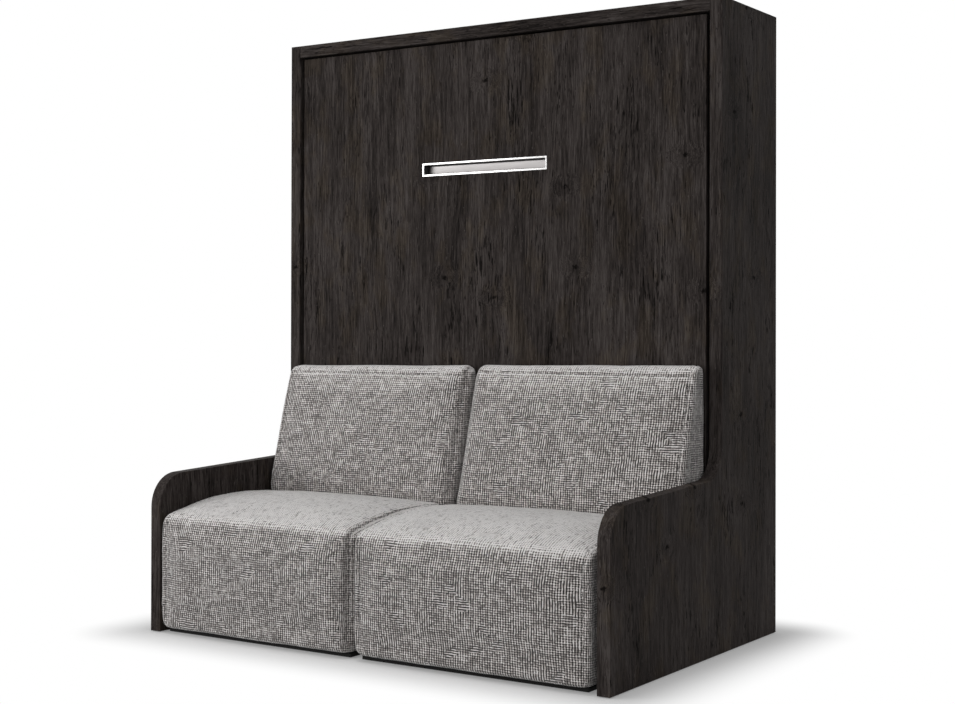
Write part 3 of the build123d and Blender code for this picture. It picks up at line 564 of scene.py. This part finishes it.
def make_finishes(settings):
    """One finish for each material slot of the record, and a few for details."""
    bare_steel = (0.320, 0.307, 0.304)
    black = (0.018, 0.018, 0.019)
    return {
        "charcoal_oak": oak(settings.oak, "charcoal_oak"),
        "charcoal_oak_level": oak(settings.oak, "charcoal_oak_level", level=True),
        "grey_tweed": tweed(settings.tweed, "grey_tweed"),
        "carcass_board": board("carcass_board", (0.050, 0.045, 0.042), 0.30, level=True),
        # The base board is nearly black: partly its own dark colour, partly painted shadow of the gap under
        # the seats.
        "base_board": board("base_board", (0.007, 0.0066, 0.0065), 0.35, level=True),
        "frame_timber": board("frame_timber", (0.46, 0.33, 0.20), 0.18),
        "slat_wood": board("slat_wood", (0.62, 0.47, 0.30), 0.16, level=True),
        "mattress_cloth": knit(settings.mattress, "mattress_cloth"),
        "webbing": webbing("webbing", (0.045, 0.045, 0.048), 0.0022),
        "mattress_tape": webbing("mattress_tape", (0.40, 0.385, 0.355), 0.0019),
        "fastening_tape": webbing("fastening_tape", (0.03, 0.03, 0.03), 0.0016),
        "black_steel": metal("black_steel", (0.030, 0.030, 0.031), 0.42, metallic=0.3, relief=0.0001),
        "bright_steel": metal("bright_steel", (0.62, 0.62, 0.60), 0.26),
        "cylinder_paint": metal("cylinder_paint", black, 0.22, metallic=0.0, relief=0.00005),
        "polished_steel": metal("polished_steel", (0.56, 0.55, 0.545), 0.18, relief=0.00001),
        "brushed_steel": metal("brushed_steel", bare_steel, 0.42, brushed=(12, 900, 2400)),
        "track_aluminium": metal("track_aluminium", (0.62, 0.62, 0.62), 0.36, brushed=(2400, 10, 2400)),
        "dark_nylon": moulded("dark_nylon", (0.028, 0.028, 0.028), 0.48),
        "buffer_rubber": moulded("buffer_rubber", (0.020, 0.020, 0.020), 0.75),
        # Near black for the pull's recess: partly a dark liner, partly painted shade.
        "recess_black": moulded("recess_black", (0.012, 0.012, 0.012), 0.55),
        "sewing_thread": moulded("sewing_thread", (0.10, 0.095, 0.09), 0.8, 4000, 0.0002),
    }


def paint(node_name, finish):
    """Gives a CAD node one finish, through its object's material slots."""
    for material_slot in nodes[node_name].material_slots:
        material_slot.material = finishes[finish]


# Mesh helpers

def new_object(name, data):
    """Puts a mesh, a lamp or a camera in the scene."""
    made = bpy.data.objects.new(name, data)
    bpy.context.scene.collection.objects.link(made)
    return made


def dress(piece, finish, body):
    """Gives a piece its one finish, its body and the slot that it takes its finish from."""
    piece.data.materials.clear()
    piece.data.materials.append(finishes[finish])
    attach(piece, body)


def new_piece(name, mesh, finish, body):
    """Puts a mesh in the scene as a piece that rides on a body."""
    piece = new_object(name, mesh)
    dress(piece, finish, body)
    return piece


def mesh_from(bm, name, smooth=True):
    """A mesh with its faces turned outwards. The bmesh is freed."""
    mesh = bpy.data.meshes.new(name)
    bmesh.ops.recalc_face_normals(bm, faces=bm.faces)
    bm.to_mesh(mesh)
    bm.free()
    set_smooth(mesh, smooth)
    return mesh


def set_smooth(mesh, smooth=True):
    for polygon in mesh.polygons:
        polygon.use_smooth = smooth


def rows_of(collection, attribute):
    """The three numbers that each item of a mesh's collection holds, one row for each."""
    numbers = np.empty(len(collection) * 3, np.float32)
    collection.foreach_get(attribute, numbers)
    return numbers.reshape(-1, 3).astype(float)


def points_of(mesh):
    return rows_of(mesh.vertices, "co")


def normals_of(mesh):
    return rows_of(mesh.vertex_normals, "vector")


def set_points(mesh, points):
    mesh.vertices.foreach_set("co", points.astype(np.float32).ravel())
    mesh.update()


def applied(piece):
    """The piece's mesh with its modifiers applied, and no modifiers left."""
    graph = bpy.context.evaluated_depsgraph_get()
    mesh = bpy.data.meshes.new_from_object(piece.evaluated_get(graph))
    old = piece.data
    piece.modifiers.clear()
    piece.data = mesh
    bpy.data.meshes.remove(old)
    return mesh


def bridge(bm, first, second, closed=False):
    """Faces between two rows or rings of vertices."""
    for index in range(len(first) if closed else len(first) - 1):
        after = (index + 1) % len(first)
        bm.faces.new((first[index], first[after], second[after], second[index]))


def tube_loop(name, path, radius, sides=10):
    """A closed round welt along a closed path of points in a plane square to Y."""
    bm = bmesh.new()
    level = Vector((0, 1, 0))
    turns = [2 * pi * step / sides for step in range(sides)]
    rings = []
    for before, point, after in zip(path[-1:] + path[:-1], path, path[1:] + path[:1]):
        out = (after - before).cross(level).normalized()
        rings.append([bm.verts.new(point + radius * (cos(turn) * out + sin(turn) * level))
                      for turn in turns])
    for ring, following in zip(rings, rings[1:] + rings[:1]):
        bridge(bm, ring, following, closed=True)
    return mesh_from(bm, name)


# Pieces

class WALLBED_OT_boards(Operator):
    """Gives every CAD part the finish of its slot, with the top board's grain lying along it"""
    bl_idname = "wall_bed.boards"
    bl_label = "Boards"

    def execute(self, context):
        for node_name, slot in slot_of.items():
            paint(node_name, slot)
        paint("top_panel", "charcoal_oak_level")
        return {"FINISHED"}


class WALLBED_OT_pull(Operator):
    """Builds the recessed pull: a polished rim, a near black recess, partly a dark liner and partly painted
    shade, and a brushed back plate
    """
    bl_idname = "wall_bed.pull"
    bl_label = "Pull"

    plate_columns = 49
    plate_rows = 9
    rim_bevel: length_setting("Rim bevel", "Rounding of the rim's edges", 0.0007)
    wall: length_setting("Wall", "Thickness of the tray's walls", 0.0015)
    plate_gap: length_setting("Plate gap", "Shadow gap round the back plate", 0.0012)
    plate_thickness: length_setting("Plate thickness", "Thickness of the back plate", 0.0012)
    plate_lift: length_setting("Plate lift", "How far the plate's edge stands off the tray", 0.0004)
    bed_gap: length_setting("Bed gap", "Gap between the plate's rear and the tray", 0.0002)
    dish: length_setting("Dish", "How deep the plate's face is dished", 0.0008)

    def execute(self, context):
        low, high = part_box("pull_frame")
        tray_low, tray_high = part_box("pull_tray")
        inner_low = Vector((tray_low.x + self.wall, low.y, tray_low.z + self.wall))
        inner_high = Vector((tray_high.x - self.wall, high.y, tray_high.z - self.wall))
        rim = new_piece("pull_rim", self.rim_mesh(low, high, inner_low, inner_high), "polished_steel",
                        "bed")
        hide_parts("pull_frame")
        # The tray is near black: partly a dark liner, partly painted shade inside the recess.
        paint("pull_tray", "recess_black")
        new_piece("pull_back_plate", self.plate_mesh(inner_low, inner_high, tray_high.y - self.wall),
                  "brushed_steel", "bed")
        return {"FINISHED"}

    def rim_mesh(self, low, high, inner_low, inner_high):
        """A rectangular ring with rounded edges."""
        bm = bmesh.new()
        outer = self.corners(bm, low, high)
        inner = self.corners(bm, inner_low, inner_high)
        for first, second in ((outer[0], inner[0]), (outer[1], inner[1]), outer, inner):
            bridge(bm, first, second, closed=True)
        bmesh.ops.recalc_face_normals(bm, faces=bm.faces)
        bmesh.ops.bevel(bm, geom=bm.edges[:], offset=self.rim_bevel, segments=3, affect="EDGES",
                        profile=0.5)
        return mesh_from(bm, "pull_rim", smooth=False)

    @staticmethod
    def corners(bm, low, high):
        """The front and rear corners of a rectangle in the door's plane."""
        places = ((low.x, low.z), (high.x, low.z), (high.x, high.z), (low.x, high.z))
        return [[bm.verts.new((x, y, z)) for x, z in places] for y in (low.y, high.y)]

    def plate_mesh(self, low, high, back):
        """A thin plate with a dished face, in front of the tray's back."""
        bm = bmesh.new()
        middle = (low + high) / 2
        half_x, _, half_z = (high - low) / 2 - Vector((self.plate_gap, 0, self.plate_gap))
        face = back - self.plate_thickness - self.plate_lift

        def rows(depth_at):
            return [[bm.verts.new((middle.x + u * half_x, depth_at(u, v), middle.z + v * half_z))
                     for u in np.linspace(-1, 1, self.plate_columns)]
                    for v in np.linspace(-1, 1, self.plate_rows)]

        front = rows(lambda u, v: face + self.dish * (1 - v * v) * (1 - u ** 8))
        rear = rows(lambda u, v: back - self.bed_gap)
        for side in (front, rear):
            for row, following in zip(side, side[1:]):
                bridge(bm, row, following)
        for end in (0, -1):
            bridge(bm, front[end], rear[end])
            bridge(bm, [row[end] for row in front], [row[end] for row in rear])
        return mesh_from(bm, "pull_back_plate")


class Seam:
    """A line sewn where a plane cuts a cover.

    where(points, normals) is 1 on the part of the cover that the line runs through, and way(points)
    rises along it.
    """

    def __init__(self, point, normal, where, way):
        self.point = np.array(point)
        self.normal = np.array(normal)
        self.where = where
        self.way = way

    def distance(self, points):
        return (points - self.point) @ self.normal

    def line(self, points, normals):
        """The numbers of the vertices on the seam, in order."""
        on_line = (np.abs(self.distance(points)) < SEAM_SLACK) & (self.where(points, normals) > 0.5)
        found = np.nonzero(on_line)[0]
        return found[np.argsort(self.way(points[found]))]


def lengths_along(path):
    """How far along a path each of its points is."""
    return np.concatenate(([0.0], np.cumsum(np.linalg.norm(np.diff(path, axis=0), axis=1))))


def soft_copy(node_name, piece_name, voxel):
    """A new piece with the shape of a CAD soft solid in an even mesh."""
    piece = new_object(piece_name, nodes[node_name].data.copy())
    remesh = piece.modifiers.new("even", "REMESH")
    remesh.mode = "VOXEL"
    remesh.voxel_size = voxel
    soften = piece.modifiers.new("soften", "SMOOTH")
    soften.iterations = 4
    soften.factor = 0.5
    applied(piece)
    return piece


def divide(piece):
    """Subdivides a piece's mesh once, smoothly."""
    subdivide = piece.modifiers.new("divide", "SUBSURF")
    subdivide.levels = 1
    subdivide.render_levels = 1
    applied(piece)


def soft_cover(node_name, piece_name, body, swell_at, seams, inner_fill, reach=0.0, rise=0.0):
    """Turns a CAD soft solid into its cover: an even mesh, inflated as cloth, sewn and stitched.

    swell_at(points, normals) says what share of the swell each point may take. The end next to an arm
    is filled out fully and the other end to inner_fill of that. reach pushes the front out, and rise
    lifts the top of the right end.
    """
    settings = bpy.context.scene.wall_bed.cover
    piece = soft_copy(node_name, piece_name, settings.voxel)
    start = points_of(piece.data)
    normals = normals_of(piece.data)
    share = swell_at(start, normals)
    move = np.zeros_like(start)
    move = inflate(piece, settings.pressure) - start
    length = np.linalg.norm(move, axis=1)
    move *= np.minimum(1.0, settings.swell * share / np.maximum(length, TINY))[:, None]
    move = evened(piece.data, move, settings.evening)
    move[:, 0] = np.clip(move[:, 0], -settings.end_swell, settings.end_swell)
    endwise = normals[:, 0] ** 2
    edge = 4 * endwise * (1 - endwise) * (1 - 0.6 * np.clip(normals[:, 2], 0, 1))
    low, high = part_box(node_name)
    outward = np.sign(low.x + high.x)
    fill = np.where(normals[:, 0] * outward > 0, 1.0, inner_fill)
    move += normals * (settings.corner_fill * fill * edge * share ** 0.5)[:, None]
    if outward < 0:
        move[:, 0] -= settings.gap_draw * rising(start[:, 0], high.x - settings.gap_width, high.x)
    move[:, 1] -= reach * np.clip(-normals[:, 1], 0, 1)
    lifted = rising(start[:, 2], low.z + settings.rise_foot, high.z)
    move[:, 2] += rise * rising(start[:, 0], low.x, high.x) * lifted
    set_points(piece.data, start + move)
    divide(piece)
    mesh = piece.data
    cut_along(mesh, seams, settings)
    threads = sew(mesh, seams, settings)
    set_smooth(mesh)
    mesh.name = piece_name
    dress(piece, "grey_tweed", body)
    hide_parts(node_name)
    new_piece(f"{piece_name}_stitches", stitches(f"{piece_name}_stitches", threads, settings),
              "sewing_thread", body)


def evened(mesh, values, rounds):
    """Values at a mesh's vertices, each drawn towards its neighbours' mean round by round."""
    pairs = np.empty(len(mesh.edges) * 2, np.int32)
    mesh.edges.foreach_get("vertices", pairs)
    first, second = pairs.reshape(-1, 2).T
    neighbours = np.bincount(pairs, minlength=len(values))[:, None]
    for _ in range(rounds):
        total = np.zeros_like(values)
        np.add.at(total, first, values[second])
        np.add.at(total, second, values[first])
        values = (values + total / neighbours) / 2
    return values


def inflate(piece, pressure):
    """The piece's points after its frames as cloth with pressure inside and no gravity."""
    scene = bpy.context.scene
    cloth = piece.modifiers.new("cloth", "CLOTH")
    for name, value in CLOTH.items():
        setattr(cloth.settings, name, value)
    cloth.settings.uniform_pressure_force = pressure
    cloth.settings.effector_weights.gravity = 0
    cloth.collision_settings.use_collision = False
    cloth.point_cache.frame_start = 1
    cloth.point_cache.frame_end = CLOTH_FRAMES
    for frame_number in range(1, CLOTH_FRAMES + 1):
        scene.frame_set(frame_number)
    graph = bpy.context.evaluated_depsgraph_get()
    swollen = bpy.data.meshes.new_from_object(piece.evaluated_get(graph))
    points = points_of(swollen)
    bpy.data.meshes.remove(swollen)
    piece.modifiers.clear()
    scene.frame_set(1)
    return points


def cut_along(mesh, seams, settings):
    """Gives the cover edges along each seam and on both sides of it."""
    bm = bmesh.new()
    bm.from_mesh(mesh)
    width = settings.seam_width
    for seam in seams:
        for share in (-2.0, -0.7, 0.0, 0.7, 2.0):
            bmesh.ops.bisect_plane(bm, geom=bm.verts[:] + bm.edges[:] + bm.faces[:], dist=SEAM_SLACK,
                                   plane_co=seam.point + share * width * seam.normal,
                                   plane_no=seam.normal)
    bm.to_mesh(mesh)
    bm.free()


def noise_at(places):
    """A smooth noise about 0 at each place."""
    return np.array([noise.noise(Vector(place)) for place in places])


def sew(mesh, seams, settings):
    """Draws the cover in along its seams, most under each stitch, and dents it a little elsewhere.

    Returns the run of each seam on the finished cover, as points and normals.
    """
    points = points_of(mesh)
    normals = normals_of(mesh)
    inward = np.zeros(len(points))
    width = settings.seam_width
    lines = []
    for seam in seams:
        line = seam.line(points, normals)
        lines.append(line)
        along = lengths_along(points[line])
        distance = np.abs(seam.distance(points))
        near = np.nonzero((distance < 8 * width) & (seam.where(points, normals) > 0.01))[0]
        gaps = ((points[near, None, :] - points[None, line[::2], :]) ** 2).sum(axis=2)
        phase = along[::2][gaps.argmin(axis=1)] / settings.stitch_pitch
        pulled = 0.5 - 0.5 * np.cos(2 * pi * phase)
        region = seam.where(points[near], normals[near])
        valley = np.exp(-distance[near] / width)
        beside = np.exp(-((distance[near] - 3.2 * width) / (2.0 * width)) ** 2)
        inward[near] += region * (settings.seam_depth * valley * (0.55 + 0.45 * pulled)
                                  - settings.pucker * beside * (1 - pulled))
    dents = noise_at(points * 7.0)
    ripples = noise_at(points * (21.0, 30.0, 30.0) + (0.0, 9.0, 0.0))
    inward += dents * settings.dent + ripples * settings.dent * 0.3
    sewn = points - normals * inward[:, None]
    set_points(mesh, sewn)
    return [(sewn[line], normals[line]) for line in lines]


def stitches(name, threads, settings):
    """Short round threads laid along each run of points, their ends sunk into the cloth."""
    sides = 6
    steps = np.linspace(-1, 1, 9)
    height = 0.9 - 3.2 * np.abs(steps) ** 5
    thickness = 1.0 - 0.5 * np.abs(steps) ** 6
    points = []
    faces = []
    for path, normals in threads:
        along = lengths_along(path)
        for number in range(int(along[-1] / settings.stitch_pitch)):
            middle = (number + 0.5) * settings.stitch_pitch
            places = middle + steps * settings.stitch_length / 2
            spots = np.array([np.interp(places, along, path[:, axis]) for axis in range(3)]).T
            out = np.array([np.interp(middle, along, normals[:, axis]) for axis in range(3)])
            out /= np.linalg.norm(out)
            ahead = spots[-1] - spots[0]
            ahead /= np.linalg.norm(ahead)
            across = np.cross(ahead, out)
            across /= np.linalg.norm(across)
            base = len(points)
            for spot, raised, thick in zip(spots, height, thickness):
                heart = spot + out * raised * settings.stitch_radius
                radius = settings.stitch_radius * thick
                for side in range(sides):
                    turn = 2 * pi * side / sides
                    points.append(heart + radius * (cos(turn) * across + sin(turn) * out))
            for ring in range(len(steps) - 1):
                for side in range(sides):
                    here = base + ring * sides
                    after = (side + 1) % sides
                    faces.append((here + side, here + after, here + sides + after, here + sides + side))
            faces.append(tuple(base + side for side in reversed(range(sides))))
            faces.append(tuple(base + (len(steps) - 1) * sides + side for side in range(sides)))
    mesh = bpy.data.meshes.new(name)
    mesh.from_pydata([tuple(point) for point in points], [], faces)
    set_smooth(mesh)
    mesh.update()
    return mesh


def rising(values, start, end):
    """0 at start, 1 at end and straight between."""
    return np.clip((values - start) / (end - start), 0, 1)


def round_section(low, high):
    """The way round a soft block's cross-section, as an angle about its middle."""
    middle = (low + high) / 2

    def way(points):
        return np.arctan2(middle.z - points[:, 2], points[:, 1] - middle.y) % (2 * pi)

    return way


def swell_over(low, high, top, foot, rear):
    """What share of the swell each point of a soft block may take: all of it in front, less on top.

    top is the share on the top. All shares rise from nothing between the two heights in foot, above
    the block's bottom, and fall to nothing again between the two distances in rear, before its back.
    """
    def swell_at(points, normals):
        share = np.clip(np.clip(-normals[:, 1], 0, 1) + top * np.clip(normals[:, 2], 0, 1), 0, 1)
        share *= rising(points[:, 2], low.z + foot[0], low.z + foot[1])
        return share * (1 - rising(points[:, 1], high.y - rear[1], high.y - rear[0]))

    return swell_at


def end_seams(low, high, inset, foot, turn):
    """The seams that join a soft block's ends to its face.

    They start between the two heights in foot, and run where the cover's normal has less than turn
    towards the back.
    """
    def where(points, normals):
        return rising(points[:, 2], low.z + foot[0], low.z + foot[1]) * (normals[:, 1] < turn)

    return [Seam((x, 0, 0), (1, 0, 0), where, round_section(low, high))
            for x in (low.x + inset, high.x - inset)]


class WALLBED_OT_seats(Operator):
    """Builds the two seat covers, with their seams and stitches"""
    bl_idname = "wall_bed.seats"
    bl_label = "Seats"

    inner_fill = {"left": -1.3, "right": 1.0}
    top_swell = 0.35
    swell_foot = (0.01, 0.09)
    swell_rear = (0.14, 0.22)
    seam_foot = (0.02, 0.05)
    seam_turn = 0.55
    end_inset: length_setting("End inset", "Distance of the end seams from the seat's ends", 0.027)

    def execute(self, context):
        for side in SIDES:
            low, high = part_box(f"seat_block_{side}")
            soft_cover(f"seat_block_{side}", f"seat_cover_{side}", "seat_unit",
                       swell_over(low, high, self.top_swell, self.swell_foot, self.swell_rear),
                       end_seams(low, high, self.end_inset, self.seam_foot, self.seam_turn),
                       self.inner_fill[side], reach=context.scene.wall_bed.cover.front_reach)
        return {"FINISHED"}


class WALLBED_OT_back_cushions(Operator):
    """Builds the two back cushions, with their seams and stitches"""
    bl_idname = "wall_bed.back_cushions"
    bl_label = "Back cushions"

    inner_fill = -0.6
    top_swell = 0.4
    swell_foot = (0.02, 0.09)
    swell_rear = (0.01, 0.03)
    seam_foot = (0.03, 0.06)
    seam_turn = 0.3
    end_rise: length_setting("End rise", "How much higher the cushion's right end stands", 0.012)
    top_seam: length_setting("Top seam", "Depth of the seam below the cushion's top", 0.030)
    end_inset: length_setting("End inset", "Distance of the end seams from the cushion's ends", 0.024)

    def execute(self, context):
        for side in SIDES:
            low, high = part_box(f"back_cushion_{side}")
            seams = [*end_seams(low, high, self.end_inset, self.seam_foot, self.seam_turn),
                     self.upper_seam(low, high)]
            soft_cover(f"back_cushion_{side}", f"back_cover_{side}", "bed",
                       swell_over(low, high, self.top_swell, self.swell_foot, self.swell_rear),
                       seams, self.inner_fill, rise=self.end_rise)
        return {"FINISHED"}

    def upper_seam(self, low, high):
        """The seam that runs along the cushion's front, below its top."""
        def on_face(points, normals):
            from_end = np.minimum(points[:, 0] - low.x, high.x - points[:, 0])
            facing = normals[:, 1] < -self.seam_turn
            return rising(from_end, self.end_inset - SEAM_START, self.end_inset) * facing

        return Seam((0, 0, high.z - self.top_seam), (0, 0, 1), on_face, lambda points: points[:, 0])


class WALLBED_OT_mattress(Operator):
    """Builds the quilted mattress, with the tapes round its edges"""
    bl_idname = "wall_bed.mattress"
    bl_label = "Mattress"

    quilt_edge = (-0.004, 0.016)
    side_lines = (0.32, 0.68)

    def execute(self, context):
        settings = context.scene.wall_bed.mattress
        low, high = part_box("mattress")
        piece = soft_copy("mattress", "mattress_cover", settings.voxel)
        divide(piece)
        self.quilt(piece.data, low, high, settings)
        set_smooth(piece.data)
        dress(piece, "mattress_cloth", "bed")
        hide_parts("mattress")
        for name, height in (("upper", high.y - settings.tape_inset),
                             ("lower", low.y + settings.tape_inset)):
            path = self.round_path(low, high, height, settings)
            new_piece(f"mattress_tape_{name}", tube_loop(f"mattress_tape_{name}", path, settings.tape),
                      "mattress_tape", "bed")
        return {"FINISHED"}

    def quilt(self, mesh, low, high, settings):
        """Draws the cover in along the quilting, round the border and along the lines on the sides.

        quilt_edge is where the quilting starts and is whole, from the border's line, and side_lines
        gives the heights of the lines as shares of the mattress's thickness.
        """
        points = points_of(mesh)
        normals = normals_of(mesh)
        x, y, z = points.T
        inset = np.minimum(np.minimum(x - low.x, high.x - x), np.minimum(z - low.z, high.z - z))
        lying = rising(np.abs(normals[:, 1]), 0.6, 0.95)
        slants = np.sin(pi * (x + z) / settings.quilt) * np.sin(pi * (x - z) / settings.quilt)
        pillow = np.abs(slants) ** 0.4
        from_border = inset - settings.border
        field = rising(from_border, *self.quilt_edge)
        frame_line = np.exp(-(from_border / settings.line_width) ** 2)
        inward = lying * settings.quilt_depth * ((1 - pillow) * field + 0.5 * frame_line)
        for share in self.side_lines:
            height = y - low.y - share * (high.y - low.y)
            side_line = np.exp(-(height / settings.line_width) ** 2)
            inward += (1 - lying) * settings.border_line * side_line
        set_points(mesh, points - normals * inward[:, None])

    @staticmethod
    def round_path(low, high, height, settings):
        """The line of an edge tape: a rectangle with round corners, inside the mattress's outline."""
        radius = settings.corner - settings.tape_inset
        left, right = low.x + settings.corner, high.x - settings.corner
        foot, head = low.z + settings.corner, high.z - settings.corner
        path = []
        for quarter, (x, z) in enumerate(((right, head), (left, head), (left, foot), (right, foot))):
            for step in range(9):
                turn = (quarter + step / 8) * pi / 2
                path.append(Vector((x + radius * cos(turn), height, z + radius * sin(turn))))
        return path


class WALLBED_OT_stage(Operator):
    """Sets up the floor, the lamps, the world and the camera"""
    bl_idname = "wall_bed.stage"
    bl_label = "Stage"

    softboxes = {
        "key": ((-3.9, -4.1, 1.3), (0, 0, 0.9), 2.2),
        "top": ((-0.2, -0.9, 6.2), (0, -0.45, 0), 2.0),
        "side": ((1.6, -5.8, 0.9), (0, 0, 0.9), 2.2),
    }
    floor_reach: length_setting("Floor reach", "How far the floor goes from the object", 40.0)

    def execute(self, context):
        settings = context.scene.wall_bed.stage
        self.set_camera(context, settings)
        self.set_floor(settings)
        self.set_world(context, settings)
        for name, (place, target, size) in self.softboxes.items():
            self.add_softbox(name, Vector(place), Vector(target), size, getattr(settings, name))
        context.scene.view_settings.view_transform = "Standard"
        return {"FINISHED"}

    @staticmethod
    def set_camera(context, settings):
        azimuth, pitch, roll = settings.azimuth, settings.pitch, settings.roll
        ahead = Vector((-sin(azimuth) * cos(pitch), cos(azimuth) * cos(pitch), sin(pitch)))
        right = Vector((cos(azimuth), sin(azimuth), 0))
        up = right.cross(ahead)
        tilted_right = right * cos(roll) + up * sin(roll)
        tilted_up = up * cos(roll) - right * sin(roll)
        turn = Matrix((tilted_right, tilted_up, -ahead)).transposed().to_4x4()
        data = bpy.data.cameras.new("photo_camera")
        data.sensor_fit = "HORIZONTAL"
        data.sensor_width = SENSOR
        data.lens = settings.focal_px / PHOTO_WIDTH * SENSOR
        data.shift_x = (PHOTO_WIDTH / 2 - settings.axis_px[0]) / PHOTO_WIDTH
        data.shift_y = (settings.axis_px[1] - PHOTO_HEIGHT / 2) / PHOTO_WIDTH
        camera = new_object("photo_camera", data)
        camera.matrix_world = Matrix.Translation(Vector(settings.eye)) @ turn
        context.scene.camera = camera

    def set_floor(self, settings):
        finish = Finish("pale_floor", roughness=0.7, specular_ior_level=0.2)
        speckle = finish.cloud(finish.coordinates(), 220, detail=3.0)
        finish.set("Base Color", finish.mix_colour(speckle, shaded(settings.floor, 0.98),
                                                   settings.floor))
        matt = finish.add("ShaderNodeBsdfDiffuse", {}, {"Color": settings.seen_floor})
        glow = finish.add("ShaderNodeEmission", {}, {"Color": WHITE, "Strength": settings.glow})
        shadowed = finish.add("ShaderNodeAddShader", {}, {0: matt, 1: glow})
        plain = finish.add("ShaderNodeEmission", {}, {"Color": WHITE, "Strength": 1.0})
        x, y, _ = finish.split(finish.coordinates())
        beside = finish.larger(abs(x) - cad_bounds[1][0], 0.0)
        before = finish.larger(abs(y) - cad_bounds[1][1], 0.0)
        apart = finish.soft_step((beside * beside + before * before) ** 0.5, 0.0, settings.fade)
        bright = finish.add("ShaderNodeMixShader", {}, {0: apart, 1: shadowed, 2: plain})
        finish.show(finish.add("ShaderNodeMixShader", {}, {0: finish.seen(), 1: finish.own, 2: bright}))
        bm = bmesh.new()
        reach = self.floor_reach
        bm.faces.new([bm.verts.new((reach * x, reach * y, 0))
                      for x, y in ((-1, -1), (1, -1), (1, 1), (-1, 1))])
        mesh = mesh_from(bm, "floor", smooth=False)
        mesh.materials.append(finish.material)
        new_object("floor", mesh)

    @staticmethod
    def set_world(context, settings):
        world = bpy.data.worlds.new("studio")
        world.use_nodes = True
        studio = ShaderTree(world.node_tree, "ShaderNodeOutputWorld")
        soft = studio.add("ShaderNodeBackground", {}, {"Color": WHITE, "Strength": settings.room})
        plain = studio.add("ShaderNodeBackground", {}, {"Color": WHITE, "Strength": 1.0})
        studio.show(studio.add("ShaderNodeMixShader", {}, {0: studio.seen(), 1: soft, 2: plain}))
        context.scene.world = world

    @staticmethod
    def add_softbox(name, place, target, size, power):
        data = bpy.data.lights.new(f"{name}_softbox", "AREA")
        data.shape = "SQUARE"
        data.size = size
        data.energy = power
        lamp = new_object(f"{name}_softbox", data)
        lamp.location = place
        lamp.rotation_euler = (target - place).to_track_quat("-Z", "Y").to_euler()


class WALLBED_PT_sidebar(Panel):
    bl_label = "Wall bed"
    bl_idname = "WALLBED_PT_sidebar"
    bl_space_type = "VIEW_3D"
    bl_region_type = "UI"
    bl_category = "Wall bed"

    def draw(self, context):
        for operator_class in OPERATORS:
            self.layout.operator(operator_class.bl_idname)


OPERATORS = (WALLBED_OT_boards, WALLBED_OT_pull, WALLBED_OT_mattress, WALLBED_OT_seats,
             WALLBED_OT_back_cushions, WALLBED_OT_stage)
CLASSES = (OakSettings, TweedSettings, CoverSettings, MattressSettings, StageSettings, WallBedSettings,
           *OPERATORS, WALLBED_PT_sidebar)
finishes = {}


def register():
    for registered in CLASSES:
        bpy.utils.register_class(registered)
    bpy.types.Scene.wall_bed = PointerProperty(type=WallBedSettings)


def unregister():
    del bpy.types.Scene.wall_bed
    for registered in reversed(CLASSES):
        bpy.utils.unregister_class(registered)


def main():
    register()
    finishes.update(make_finishes(bpy.context.scene.wall_bed))
    bpy.ops.wall_bed.boards()
    bpy.ops.wall_bed.pull()
    bpy.ops.wall_bed.mattress()
    bpy.ops.wall_bed.seats()
    bpy.ops.wall_bed.back_cushions()
    bpy.ops.wall_bed.stage()


if __name__ == "__main__":
    main()
